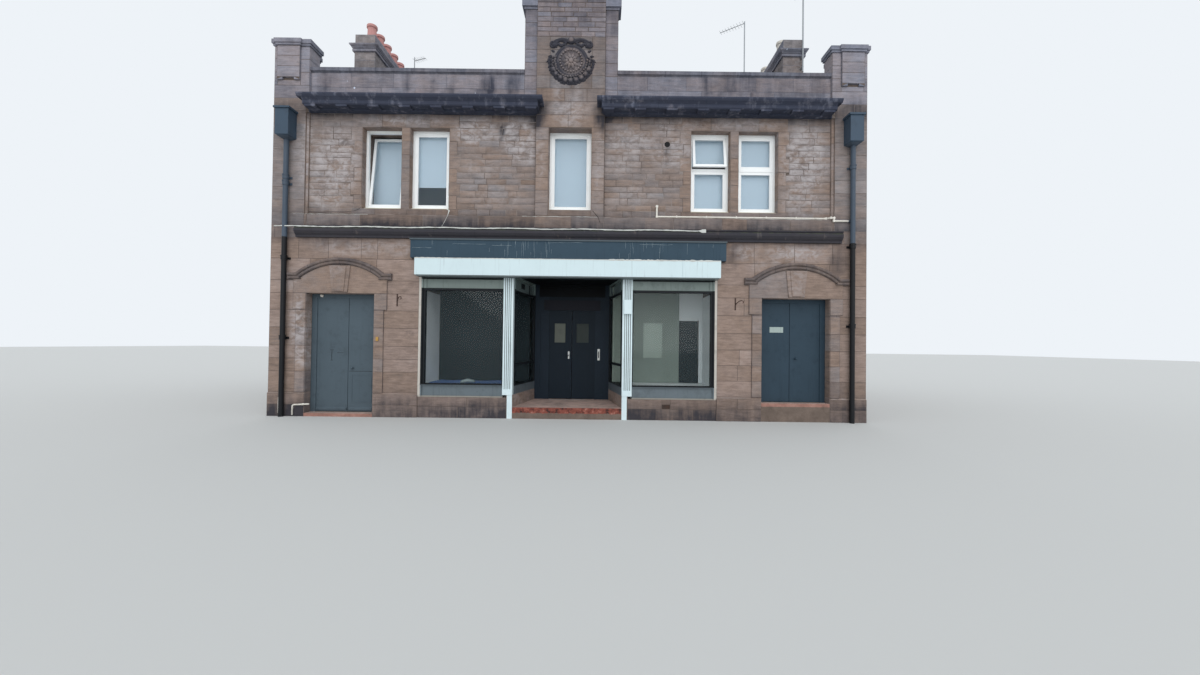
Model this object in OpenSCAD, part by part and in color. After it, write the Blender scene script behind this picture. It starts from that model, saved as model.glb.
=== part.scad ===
// Two-storey sandstone shop building with rooms over the shop.
// X runs along the street front, Y goes into the building, Z is up. The origin is at the middle of
// the footprint's box, at the lowest point where the walls meet the ground. Millimetres.
// Inside the modules y is counted from the street face of the wall; in_place() moves it to the origin.

/* [Overall size] */
// Width over the end piers
front_w = 12720; // [12400:10:13000]
// Depth from the street face to the rear face
depth = 8720; // [8400:10:9000]
// Thickness of the outer walls
wall_t = 580; // [540:10:620]
// Top of the ground storey, where the string course lies
ground_top = 3810; // [3790:10:3840]
// Top of the string course
string_top = 4070; // [4050:10:4090]
// Top of the upper storey wall, under the parapet
upper_top = 6800; // [6760:10:6820]
// Height of the plinth course
plinth_h = 510; // [480:10:540]

/* [Roof] */
// Top of the ridge
ridge_z = 9650; // [9500:10:9700]
// Slope of both roof faces in degrees
pitch = 36; // [35:0.5:37]
// Thickness of rafters, boards and slates together
roof_t = 180; // [150:10:200]
// How far the rear slope runs past the rear wall
eaves_out = 180; // [120:10:200]

/* [Parapet and centre block] */
// Top of the parapet cope
parapet_top = 7520; // [7400:10:7560]
// Thickness of the parapet wall
parapet_t = 290; // [250:10:300]
// Half width of the middle panel
panel_half = 735; // [700:5:760]
// Half width of the centre block with its wings
wing_half = 1005; // [980:5:1040]
// Top of the wing caps
wing_top = 9020; // [8950:10:9080]
// Top of the middle panel's cope
panel_top = 9460; // [9400:10:9500]
// Inner edge of the end piers
pier_in = 5610; // [5590:5:5650]
// Top of the end piers' caps
pier_top = 8050; // [8000:10:8100]

/* [Upper windows] */
// Sill height of the upper windows
win_sill = 4465; // [4440:5:4500]
// Head height of the upper windows
win_head = 6220; // [6200:5:6250]
// Width of one light in the pairs
win_w = 850; // [820:5:880]
// Inner edge of the inner light in each pair
pair_in = 2605; // [2580:5:2630]
// Width of the stone between the two lights
mullion_w = 175; // [160:5:190]
// Half width of the middle window
mid_win_half = 462; // [440:1:480]
// Distance from the street face to the window frames
win_set_back = 230; // [200:5:260]

/* [Shopfront] */
// Half width of the shop opening
shop_half = 3180; // [3150:10:3200]
// Half width of the lobby at the street
lobby_half = 1170; // [1150:5:1190]
// Half width of the lobby at the door screen
screen_half = 910; // [900:5:930]
// Depth of the lobby
lobby_d = 1500; // [1450:10:1550]
// Shop floor level
shop_floor = 240; // [230:5:250]
// Top of the stone stall risers
riser_h = 440; // [420:5:460]
// Bottom of the shop glass
glass_z0 = 730; // [720:5:740]
// Transom bar over the shop glass
transom_z = 2730; // [2700:5:2760]
// Top of the shop joinery, under the white fascia
joinery_top = 3010; // [2990:5:3030]

/* [Doors] */
// Outer side of a side doorway, from the middle
door_out = 5580; // [5560:5:5600]
// Inner side of a side doorway, from the middle
door_in = 4125; // [4100:5:4150]
// Head height of the side doorways
door_head = 2620; // [2600:5:2640]
// Top of the left step
left_step = 70; // [60:5:75]
// Top of the right step
right_step = 390; // [380:5:395]
// Thickness of every door leaf
leaf_t = 45; // [40:1:50]
// Gap between a leaf and its frame
leaf_gap = 7; // [6:1:9]
// Gap between the two leaves of a pair
meet_gap = 10; // [9:1:12]

/* [Chimneys and aerials] */
// Front face of the stacks
stack_y0 = 3070; // [3000:10:3150]
// Rear face of the stacks
stack_y1 = 5650; // [5570:10:5700]
// Underside of the stacks' moulded caps
stack_cap_z = 9790; // [9740:10:9840]
// Height of a pot
pot_h = 500; // [450:10:520]
// Top of the tall mast
mast_top = 11850; // [11500:50:11900]

/* [Hidden] */
$fn = 48;

// Colours as the building shows them
ashlar = [0.53, 0.45, 0.40];
rubble = [0.51, 0.44, 0.40];
sooty = [0.24, 0.22, 0.24];
slate = [0.30, 0.32, 0.35];
lead = [0.45, 0.47, 0.50];
white = [0.88, 0.91, 0.90];
pane = [0.60, 0.70, 0.75, 0.4];
door_grey = [0.35, 0.38, 0.41];
door_slate = [0.24, 0.28, 0.32];
navy = [0.13, 0.15, 0.19];
fascia_blue = [0.28, 0.33, 0.38];
pale_post = [0.75, 0.80, 0.80];
step_red = [0.58, 0.42, 0.36];
pipe_dark = [0.16, 0.19, 0.22];
terracotta = [0.72, 0.45, 0.40];
floor_grey = [0.45, 0.42, 0.38];
steel = [0.60, 0.62, 0.64];

// Derived places
half_w = front_w / 2;
inner_half = half_w - wall_t;
ridge_y = depth / 2;
rear_in = depth - wall_t;
field_y = 60;
field_z0 = 4320;
cornice_out = 350;
rear_out = eaves_out + 140;
mid_y = (depth + rear_out - cornice_out) / 2;
roof_v = roof_t / cos(pitch);
skew_up = 150;
stack_foot = ridge_z - (ridge_y - stack_y0) * tan(pitch) + skew_up;
pot_z = stack_cap_z + 510;
hall_edge = 3900;
door_y = 215;
screen_y1 = lobby_d + 65;
pair_out = pair_in + 2 * win_w + mullion_w;
splay = atan((lobby_half - screen_half) / lobby_d);
e = 1;

// Height of the slates at distance y from the street face
function roof_at(y) = ridge_z - abs(y - ridge_y) * tan(pitch);

module in_place() translate([0, -mid_y, 0]) children();

// The right-hand piece, or its mirror image for side = -1
module on_side(side) mirror([side < 0 ? 1 : 0, 0, 0]) children();

module both_sides() {
    for (side = [-1, 1]) on_side(side) children();
}

module block(x0, x1, y0, y1, z0, z1) {
    translate([x0, y0, z0]) cube([x1 - x0, y1 - y0, z1 - z0]);
}

// A profile drawn as y and z, run along X from x0 to x1
module along_x(x0, x1) {
    translate([x0, 0, 0]) rotate([90, 0, 90]) linear_extrude(x1 - x0) children();
}

// A plan drawn as x and y, raised from z0 to z1
module raised(z0, z1) {
    translate([0, 0, z0]) linear_extrude(z1 - z0) children();
}

// An outline drawn as x and z, run along Y from y0 to y1
module along_y(y0, y1) {
    translate([0, y1, 0]) rotate([90, 0, 0]) linear_extrude(y1 - y0) children();
}

// Ground storey masonry

plinth_out = 25;

// The plinth along the foot of a wall, with a sloped upper edge
module plinth(x0, x1) {
    along_x(x0, x1) polygon([[e, 0], [-plinth_out, 0], [-plinth_out, plinth_h - 30],
                             [0, plinth_h], [e, plinth_h]]);
}

module front_pier(side) {
    in_place() color(ashlar) on_side(side) {
        block(door_out, half_w, 0, wall_t, 0, ground_top);
        plinth(door_out, half_w);
    }
}

module side_door_lintels() {
    in_place() color(ashlar) both_sides()
        block(door_in, door_out, 0, wall_t, door_head, ground_top);
}

module wall_beside_shop(side) {
    in_place() color(ashlar) on_side(side) {
        block(shop_half, door_in, 0, wall_t, 0, ground_top);
        plinth(shop_half, door_in);
    }
}

module shop_beam() {
    in_place() color(ashlar) block(-shop_half, shop_half, 0, wall_t, joinery_top + 90, ground_top);
}

riser_t = 250;
riser_return_t = 120;
riser_return_h = 500;

module riser_return_plan() {
    polygon([[lobby_half, 0], [lobby_half + riser_return_t, 0],
             [screen_half + riser_return_t, screen_y1], [screen_half, screen_y1],
             [screen_half, lobby_d]]);
}

module stall_riser(side, vent_x = 0) {
    in_place() color(ashlar) on_side(side) difference() {
        union() {
            block(lobby_half + riser_return_t - e, shop_half, 0, riser_t, 0, riser_h);
            raised(0, riser_return_h) riser_return_plan();
        }
        if (vent_x > 0) block(vent_x, vent_x + 180, -e, 15, 240, 330);
    }
}

// The string course is a full bearing course of the wall, moulded between the end piers

string_half = 5810;
string_out = 120;

module string_profile() {
    z0 = ground_top;
    z1 = string_top;
    polygon([[0, z0], [-50, z0], [-50, z0 + 40], [-string_out + 30, z0 + 75],
             [-string_out, z0 + 120], [-string_out, z1 - 90], [-string_out + 25, z1 - 60],
             [-string_out, z1 - 45], [-string_out, z1 - 25], [0, z1]]);
}

module string_course() {
    in_place() color(ashlar) {
        block(-half_w, half_w, 0, wall_t, ground_top, string_top);
        along_x(-string_half, string_half) string_profile();
    }
}

// Upper storey walls, with the rubble fields set back in two steps beside the end piers

cornice_z0 = 6510;
field_step = 60;

module roof_rebate() {
    along_x(-half_w - e, half_w + e) polygon([
        [parapet_t + field_y, roof_at(parapet_t + field_y) - roof_v],
        [wall_t + e, roof_at(wall_t + e) - roof_v],
        [wall_t + e, upper_top + e], [parapet_t + field_y, upper_top + e]]);
}

module upper_wall(side) {
    in_place() color(rubble) on_side(side) difference() {
        block(panel_half, half_w, 0, wall_t, string_top, upper_top);
        block(panel_half - e, pier_in, -e, field_y, field_z0, upper_top + e);
        block(pier_in - e, pier_in + field_step, -e, field_y / 2, field_z0, cornice_z0);
        for (x = [pair_in, pair_in + win_w + mullion_w])
            block(x, x + win_w, -e, wall_t + e, win_sill, win_head);
        roof_rebate();
    }
}

module upper_wall_centre() {
    in_place() color(ashlar) difference() {
        block(-panel_half, panel_half, 0, wall_t, string_top, upper_top);
        block(-mid_win_half, mid_win_half, -e, wall_t + e, win_sill, win_head);
        roof_rebate();
    }
}

// Main cornice in two halves, each on eight flat brackets

bracket_w = 230;
bracket_step = 660;
bracket_x0 = 705;
bracket_count = 8;
cornice_top = 6750;

module cornice_profile(out) {
    polygon([[0, 6550], [-out + 110, 6550], [-out + 90, 6570], [-out + 90, 6635],
             [-out + 55, 6665], [-out + 25, 6685], [-out, 6720], [-out, cornice_top], [0, cornice_top]]);
}

module cornice() {
    in_place() color(sooty) both_sides() {
        along_x(670, 5590) cornice_profile(cornice_out);
        along_x(570, 5670) intersection() {
            cornice_profile(cornice_out);
            translate([-cornice_out - e, 6675]) square([cornice_out + e, 200]);
        }
        block(panel_half, pier_in, -e, field_y, cornice_z0, upper_top);
        block(panel_half, pier_in - 40, -70, e, cornice_z0, 6560);
        for (i = [0 : bracket_count - 1])
            translate([bracket_x0 + i * bracket_step, 0, 0])
                block(0, bracket_w, -cornice_out + 105, 0, cornice_z0 + 5, 6560);
    }
}

// Parapet

cope_t = 100;
cope_out = 40;

module parapet_walls() {
    y1 = field_y + parapet_t;
    in_place() color(sooty) both_sides() {
        block(wing_half, pier_in, field_y, y1, upper_top, parapet_top - cope_t);
        along_x(wing_half, pier_in) polygon([
            [field_y, parapet_top - cope_t - 25], [field_y - cope_out + 15, parapet_top - cope_t],
            [field_y - cope_out, parapet_top - cope_t], [field_y - cope_out, parapet_top - 25],
            [field_y, parapet_top], [y1, parapet_top], [y1 + cope_out, parapet_top - 25],
            [y1 + cope_out, parapet_top - cope_t], [y1, parapet_top - cope_t],
            [y1, parapet_top - cope_t - 25]]);
    }
}

parapet_y1 = field_y + parapet_t;
pier_cap_t = 130;
cap_out = 50;
panel_x0 = 5800;
panel_x1 = 6285;
panel_out = 40;
panel_z0 = 7240;
leg_w = 120;

// Plan of an end pier, grown by out on every side
module pier_plan(out) {
    polygon([[pier_in - out, -out], [half_w + out, -out], [half_w + out, wall_t + out],
             [inner_half - out, wall_t + out], [inner_half - out, parapet_y1 + out],
             [pier_in - out, parapet_y1 + out]]);
    translate([panel_x0 - out, -panel_out - out]) square([panel_x1 - panel_x0 + 2 * out, panel_out + e]);
}

module parapet_piers() {
    cap_z = pier_top - pier_cap_t;
    in_place() color(ashlar) both_sides() {
        block(pier_in, inner_half + e, 0, parapet_y1, upper_top, cap_z + e);
        block(inner_half, half_w, 0, wall_t, upper_top, cap_z + e);
        block(panel_x0, panel_x1, -panel_out, e, panel_z0, cap_z + e);
        for (x = [panel_x0, panel_x1 - leg_w])
            block(x, x + leg_w, -panel_out, e, panel_z0 - 50, panel_z0 + e);
        raised(cap_z, cap_z + 45) pier_plan(cap_out - 22);
        raised(cap_z + 44, pier_top) pier_plan(cap_out);
    }
}

// Centre block over the middle window: a tall panel between two lower wings

wing_cap_t = 150;
wing_cap_out = 65;
block_d = parapet_y1;
panel_cope_t = 140;

module centre_block() {
    in_place() color(ashlar) {
        block(-panel_half, panel_half, 0, block_d, upper_top, panel_top - panel_cope_t);
        block(-panel_half - 60, panel_half + 60, -60, block_d + 60, panel_top - panel_cope_t, panel_top);
        both_sides() {
            block(panel_half - e, wing_half, field_y, block_d, upper_top, wing_top - wing_cap_t);
            block(panel_half - e, wing_half + wing_cap_out, field_y - wing_cap_out,
                  block_d + wing_cap_out, wing_top - wing_cap_t, wing_top);
            block(panel_half - e, wing_half + 25, field_y - 25, block_d + 25,
                  wing_top - wing_cap_t - 45, wing_top - wing_cap_t + e);
        }
        block(-panel_half - 25, panel_half + 25, -25, block_d + 25,
              panel_top - panel_cope_t - 50, panel_top - panel_cope_t + e);
    }
}

// Round cartouche in relief: a disc with a rolled rim, a garland below and two scrolls above

crest_z = 7650;
disc_r = 285;
rim_r = 325;
garland_r = 415;
garland_count = 9;

// A half-round bar bent to an arc on the wall face, seen from the front
module relief_arc(r, t, from, turn) {
    rotate_extrude(angle = turn, start = from) translate([r, 0]) intersection() {
        circle(r = t);
        translate([-t, 0]) square([2 * t, t]);
    }
}

// A half ball standing on the wall face
module relief_ball(x, z, r) {
    translate([x, z, 0]) intersection() {
        sphere(r = r);
        translate([-r, -r, 0]) cube([2 * r, 2 * r, r + e]);
    }
}

module crest() {
    in_place() color(sooty) translate([0, 0, crest_z]) rotate([90, 0, 0]) {
        cylinder(r = disc_r + 10, h = 40);
        relief_arc(rim_r, 48, 0, 360);
        for (i = [0 : garland_count - 1]) {
            a = 205 + i * 130 / (garland_count - 1);
            relief_ball(garland_r * cos(a), garland_r * sin(a), 72);
        }
        for (side = [-1, 1]) {
            translate([side * 215, 330, 0]) relief_arc(135, 36, side > 0 ? 15 : 30, 135);
            relief_ball(side * 362, 352, 58);
            relief_ball(side * 400, 20, 50);
        }
        relief_ball(0, 455, 82);
    }
}

// Door surround, keystone and hood mould over each side door, one carved piece on the wall face

hood_mid = (door_out + door_in) / 2;
hood_t = 150;
hood_chord = 940;
hood_rise = 330;
hood_stop_z = 3050;
stop_out = 1102;
surround_out = 25;

hood_r = (pow(hood_chord, 2) + pow(hood_rise, 2)) / (2 * hood_rise);
hood_cz = hood_stop_z + hood_rise - hood_r;
hood_half = asin(hood_chord / hood_r);

// Points on a roll of the section, from angle a0 to a1
function roll(x, y, r, a0, a1, n) =
    [for (i = [0 : n]) let (a = a0 + (a1 - a0) * i / n) [x + r * cos(a), y + r * sin(a)]];

// Section of the hood mould, x counted from its outer edge and y out of the wall: two rolls and fillets
hood_section = concat([[0, 0], [0, 30]], roll(36, 54, 34, 224.9, 1.7, 9),
                      roll(108, 48, 28, 165.5, -40, 8), [[hood_t, 30], [hood_t, 0]]);

// The mould rises in one arc and turns level at both ends, where the stops are mitred to it
module hood_mould() {
    translate([0, 0, hood_cz]) rotate([90, 0, 0])
        rotate_extrude(angle = 2 * hood_half, start = 90 - hood_half)
            translate([hood_r, 0]) mirror([1, 0]) polygon(hood_section);
    both_sides() translate([hood_chord, 0, hood_stop_z]) intersection() {
        along_x(-150, stop_out - hood_chord) mirror([1, 0]) rotate(-90) polygon(hood_section);
        along_y(-200, 50) rotate(-hood_half) polygon([[-4, -900], [-4, 300], [900, 900], [900, -900]]);
    }
}

module surround_outline() {
    difference() {
        union() {
            translate([-1000, 2276]) square([2000, hood_stop_z - hood_t - 2276 + 60]);
            translate([-935, plinth_h]) square([1870, 2276 - plinth_h + e]);
            intersection() {
                translate([0, hood_cz]) circle(r = hood_r - 60, $fn = 96);
                translate([-900, hood_stop_z - hood_t]) square([1800, hood_rise + hood_t]);
            }
        }
        translate([door_in - hood_mid, 0]) square([door_out - door_in, door_head]);
    }
}

module hood_moulds() {
    in_place() color(ashlar) both_sides() translate([hood_mid, 0, 0]) {
        along_y(-surround_out, 0) surround_outline();
        hood_mould();
        along_y(-surround_out - 30, 0)
            polygon([[-165, 2650], [165, 2650], [223, 3210], [-223, 3210]]);
        along_y(-surround_out - 45, 0)
            polygon([[-95, 2665], [95, 2665], [140, 3200], [-140, 3200]]);
    }
}

// Gables and rear wall

gable_front_top = 7400;

module gable_outline() {
    level_y = ridge_y - (ridge_z + skew_up - gable_front_top) / tan(pitch);
    polygon([[wall_t, 0], [depth, 0], [depth, roof_at(depth) + skew_up], [stack_y1, stack_foot],
             [stack_y0, stack_foot], [level_y, gable_front_top], [wall_t, gable_front_top]]);
}

skew_t = 90;
skew_over = 40;

module skew_stone(y0, y1) {
    along_x(inner_half - skew_over, half_w + skew_over) polygon([
        [y0, roof_at(y0) + skew_up - 6], [y1, roof_at(y1) + skew_up - 6],
        [y1, roof_at(y1) + skew_up + skew_t], [y0, roof_at(y0) + skew_up + skew_t]]);
}

module gable(side) {
    level_y = ridge_y - (ridge_z + skew_up - gable_front_top) / tan(pitch);
    in_place() color(rubble) on_side(side) {
        along_x(inner_half, half_w) gable_outline();
        skew_stone(level_y, stack_y0);
        skew_stone(stack_y1, depth + 60);
        along_x(inner_half, half_w) polygon([
            [depth - e, roof_at(depth) - 160], [depth + 20, roof_at(depth) - 160],
            [depth + 60, roof_at(depth) - 60], [depth + 60, roof_at(depth + 60) + skew_up + e],
            [depth - e, roof_at(depth) + skew_up]]);
    }
}

rear_win_w = 950;
rear_win_x = [-4200, -1500, 1500, 4200];
rear_low_x = [-4200, 0, 4200];
rear_low_sill = 1050;
rear_low_head = 2550;
rear_up_head = 5950;

module rear_wall() {
    in_place() color(rubble) difference() {
        along_x(-inner_half, inner_half) polygon([[rear_in, 0], [depth, 0],
            [depth, roof_at(depth) - roof_v - 2], [rear_in, roof_at(rear_in) - roof_v - 2]]);
        for (x = rear_win_x)
            block(x - rear_win_w / 2, x + rear_win_w / 2, rear_in - e, depth + e,
                  win_sill, rear_up_head);
        for (x = rear_low_x)
            block(x - rear_win_w / 2, x + rear_win_w / 2, rear_in - e, depth + e,
                  rear_low_sill, rear_low_head);
    }
}

// Chimneys on the gables

// Profile of the moulded cap: how far it stands out, and its height over the stack
cap_profile = [[0, 0], [45, 10], [45, 66], [25, 78], [62, 106], [62, 122], [108, 170], [108, 200], [-5, 212]];

// The cap seen along one of its sides, from a0 to a1
module cap_outline(a0, a1) {
    n = len(cap_profile);
    polygon(concat([for (p = cap_profile) [a0 - p[0], stack_cap_z + p[1]]],
                   [for (i = [0 : n - 1]) let (p = cap_profile[n - 1 - i])
                       [a1 + p[0], stack_cap_z + p[1]]]));
}

module chimney_stacks() {
    in_place() color(sooty) both_sides() {
        block(inner_half, half_w, stack_y0, stack_y1, stack_foot, stack_cap_z + e);
        block(inner_half, half_w + 30, stack_y0 - 30, stack_y1 + 30, stack_foot + 100, stack_foot + 220);
        intersection() {
            along_y(stack_y0 - 200, stack_y1 + 200) cap_outline(inner_half, half_w);
            along_x(inner_half - 200, half_w + 200) cap_outline(stack_y0, stack_y1);
        }
        block(inner_half + 10, half_w - 10, stack_y0 + 10, stack_y1 - 10, stack_cap_z + 150, pot_z);
    }
}

module pot() {
    rotate_extrude() polygon([[105, 0], [150, 0], [150, 45], [128, 60], [118, pot_h - 90],
                              [145, pot_h - 75], [145, pot_h - 20], [135, pot_h], [100, pot_h]]);
}

pot_step = 450;
pot_y0 = 3450;
right_pots_y = [3950, 5250];

module chimney_pots() {
    pot_x = half_w - wall_t / 2;
    in_place() color(terracotta) {
        for (i = [0 : 4]) translate([-pot_x, pot_y0 + i * pot_step, pot_z]) pot();
        for (y = right_pots_y) translate([pot_x, y, pot_z]) pot();
    }
}

// Roof

module roof_front() {
    y0 = field_y + parapet_t;
    in_place() color(slate) along_x(-inner_half, inner_half) polygon([
        [y0, roof_at(y0) - roof_v], [ridge_y, ridge_z - roof_v], [ridge_y, ridge_z],
        [y0, roof_at(y0)]]);
}

module roof_rear() {
    y1 = depth + eaves_out;
    in_place() color(slate) along_x(-inner_half, inner_half) polygon([
        [ridge_y, ridge_z - roof_v], [y1, roof_at(y1) - roof_v], [y1, roof_at(y1)],
        [ridge_y, ridge_z]]);
}

ridge_run = 170;

module roof_ridge() {
    lift = 25;
    in_place() color(lead) along_x(-inner_half, inner_half) polygon([
        [ridge_y - ridge_run, roof_at(ridge_y - ridge_run)], [ridge_y, ridge_z],
        [ridge_y + ridge_run, roof_at(ridge_y + ridge_run)],
        [ridge_y + ridge_run, roof_at(ridge_y + ridge_run) + lift], [ridge_y + 40, ridge_z + lift],
        [ridge_y - 40, ridge_z + lift], [ridge_y - ridge_run, roof_at(ridge_y - ridge_run) + lift]]);
}

gutter_sole = 6960;

module parapet_gutter() {
    y0 = field_y + parapet_t;
    sole_y = ridge_y - (ridge_z - gutter_sole) / tan(pitch);
    lap_y = sole_y + 180;
    skin = 12;
    in_place() color(lead) along_x(-inner_half, inner_half) polygon([
        [y0, roof_at(y0)], [lap_y, roof_at(lap_y)], [lap_y, roof_at(lap_y) + skin],
        [sole_y, gutter_sole + skin], [y0 + skin, gutter_sole + skin], [y0 + skin, gutter_sole + 150],
        [y0, gutter_sole + 150]]);
}

rear_pipe_x = 5200;
rear_gutter_r = 70;

module rear_rainwater() {
    edge_y = depth + eaves_out;
    gutter_z = roof_at(edge_y) - roof_v + 60;
    in_place() color(pipe_dark) {
        difference() {
            along_x(-inner_half, inner_half)
                translate([edge_y + rear_gutter_r, gutter_z]) circle(r = rear_gutter_r);
            along_x(-inner_half + 5, inner_half - 5)
                translate([edge_y + rear_gutter_r, gutter_z + 1]) circle(r = rear_gutter_r - 5);
            block(-inner_half - e, inner_half + e, edge_y - e, edge_y + 2 * rear_gutter_r + e,
                  gutter_z, gutter_z + rear_gutter_r + e);
        }
        both_sides() {
            translate([rear_pipe_x, depth + 60, 0]) cylinder(r = 40, h = gutter_z - 350);
            translate([rear_pipe_x, depth + 60, gutter_z - 350])
                rotate([-atan((eaves_out + rear_gutter_r - 60) / 300), 0, 0])
                    cylinder(r = 40, h = sqrt(pow(eaves_out + rear_gutter_r - 60, 2) + 300 * 300));
            translate([rear_pipe_x, depth + 60, gutter_z - 350]) sphere(r = 40);
        }
    }
}

// Floors

module ground_floor() {
    in_place() color(floor_grey) {
        raised(0, shop_floor) polygon([
            [-hall_edge, wall_t], [-shop_half, wall_t], [-shop_half, riser_t],
            [-lobby_half - riser_return_t + 40, riser_t], [-screen_half - riser_return_t, screen_y1],
            [screen_half + riser_return_t, screen_y1], [lobby_half + riser_return_t - 40, riser_t],
            [shop_half, riser_t], [shop_half, wall_t], [hall_edge, wall_t], [hall_edge, rear_in],
            [-hall_edge, rear_in]]);
        raised(0, left_step) on_side(-1) hall_plan();
        raised(0, right_step) hall_plan();
    }
}

module hall_plan() {
    polygon([[hall_edge, wall_t], [door_in, wall_t], [door_in, door_y - 20], [door_out, door_y - 20],
             [door_out, wall_t], [inner_half, wall_t], [inner_half, rear_in], [hall_edge, rear_in]]);
}

first_floor_z = 3700;
first_floor_t = 300;

module first_floor() {
    in_place() color(floor_grey)
        block(-inner_half, inner_half, wall_t, rear_in, first_floor_z - first_floor_t, first_floor_z);
}

ceiling_z = 6430;
ceiling_t = 140;

module upper_ceiling() {
    in_place() color(white)
        block(-inner_half, inner_half, wall_t, rear_in, ceiling_z, ceiling_z + ceiling_t);
}

// Windows

frame_d = 70;
frame_w = 55;
sash_w = 60;
sash_y0 = 12;
sash_y1 = 58;
glass_y0 = 24;
glass_t = 24;
tilt_angle = 8;
vent_angle = 10;

// Heights of the hole that holds sash i, in a frame of height h with transoms at the heights in bars
function hole_z0(bars, i) = i == 0 ? frame_w + 20 : bars[i - 1] + frame_w / 2;
function hole_z1(h, bars, i) = i == len(bars) ? h - frame_w : bars[i] - frame_w / 2;

// How a sash stands: shut, tilted in at its head, or hung open at its foot
shut = 0;
tilted = 1;
hung_open = 2;

module sash_place(h, state) {
    if (state == tilted)
        translate([0, sash_y1, -3]) rotate([-tilt_angle, 0, 0]) translate([0, -sash_y1, 3]) children();
    else if (state == hung_open)
        translate([0, sash_y0, h + 3]) rotate([-vent_angle, 0, 0])
            translate([0, -sash_y0, -h - 3]) children();
    else children();
}

// A sash in a hole of size w by h, its lower left corner at the origin
module sash(w, h, state) {
    side = state == shut ? -2 : 6;
    z0 = state == hung_open ? 8 : -3;
    z1 = state == tilted ? h - 8 : h + 3;
    sash_place(h, state) difference() {
        block(side, w - side, sash_y0, sash_y1, z0, z1);
        block(sash_w, w - sash_w, sash_y0 - e, sash_y1 + e, sash_w, h - sash_w);
    }
}

// Frame, sashes and sill of one light, its corner at the origin; y runs inward from the frame's face
module window_frame(w, h, bars, states, has_vent) {
    rows = [0 : len(bars)];
    difference() {
        block(0, w, 0, frame_d, 0, h);
        for (i = rows)
            block(frame_w, w - frame_w, -e, frame_d + e, hole_z0(bars, i), hole_z1(h, bars, i));
    }
    for (i = rows)
        translate([frame_w, 0, hole_z0(bars, i)])
            sash(w - 2 * frame_w, hole_z1(h, bars, i) - hole_z0(bars, i), states[i]);
    block(0, w, -70, e, 0, 40);
    if (has_vent) block(w / 2 - 150, w / 2 + 150, -9, e, h - 40, h - 16);
}

module window_panes(w, h, bars, states) {
    for (i = [0 : len(bars)]) {
        hole_w = w - 2 * frame_w;
        hole_h = hole_z1(h, bars, i) - hole_z0(bars, i);
        translate([frame_w, 0, hole_z0(bars, i)]) sash_place(hole_h, states[i])
            block(sash_w, hole_w - sash_w, glass_y0, glass_y0 + glass_t, sash_w, hole_h - sash_w);
    }
}

win_h = win_head - win_sill;
pair_transom = 975;

// Left edge, width, transom heights, state of each sash and trickle vent of the five street windows
street_windows = [
    [-pair_out, win_w, [], [tilted], false],
    [-pair_in - win_w, win_w, [], [shut], false],
    [-mid_win_half, 2 * mid_win_half, [], [shut], true],
    [pair_in, win_w, [pair_transom], [shut, hung_open], true],
    [pair_in + win_w + mullion_w, win_w, [pair_transom], [shut, shut], false]];

// Middle, sill, height and transom height of the rear windows
rear_windows = concat(
    [for (x = rear_win_x) [x, win_sill, rear_up_head - win_sill, 735]],
    [for (x = rear_low_x) [x, rear_low_sill, rear_low_head - rear_low_sill, 750]]);

module at_street_window(light) {
    translate([light[0], win_set_back, win_sill]) children();
}

module at_rear_window(light) {
    translate([light[0] + rear_win_w / 2, depth - win_set_back, light[1]]) rotate([0, 0, 180])
        children();
}

module window_frames() {
    in_place() color(white) {
        for (light = street_windows)
            at_street_window(light) window_frame(light[1], win_h, light[2], light[3], light[4]);
        for (light = rear_windows)
            at_rear_window(light) window_frame(rear_win_w, light[2], [light[3]], [shut, shut], false);
    }
}

module window_glass() {
    in_place() color(pane) {
        for (light = street_windows)
            at_street_window(light) window_panes(light[1], win_h, light[2], light[3]);
        for (light = rear_windows)
            at_rear_window(light) window_panes(rear_win_w, light[2], [light[3]], [shut, shut]);
    }
}

// Shopfront

post_out = 1375;
post_foot = 1275;
post_y0 = -10;
post_y1 = 130;
shop_frame_y0 = 30;
shop_frame_y1 = 110;
jamb_w = 80;

module shop_posts() {
    in_place() color(pale_post) both_sides() {
        difference() {
            block(lobby_half - 5, post_out, post_y0, post_y1, riser_return_h, joinery_top);
            for (x = [1215, 1255, 1295, 1335])
                block(x - 8, x + 8, post_y0 - e, post_y0 + 10, riser_return_h - e, joinery_top + e);
        }
        block(lobby_half - 5, post_foot, post_y0, 0, 0, riser_return_h + e);
        block(lobby_half - 5, post_out, post_y0 - 15, post_y0 + e, riser_return_h, riser_return_h + 120);
    }
    in_place() color(pale_post) block(1190, 1350, post_y0 - 60, post_y0 + e, 2250, 2550);
}

// Places a wall running back from the lobby's front corner to its rear corner, x along it
module along_return() {
    translate([lobby_half, 0, 0]) rotate([0, 0, 90 + splay]) children();
}

return_len = sqrt(pow(lobby_half - screen_half, 2) + pow(lobby_d, 2));
return_x0 = post_y1 + 10;
return_t = 60;
return_rail = 1150;

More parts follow.
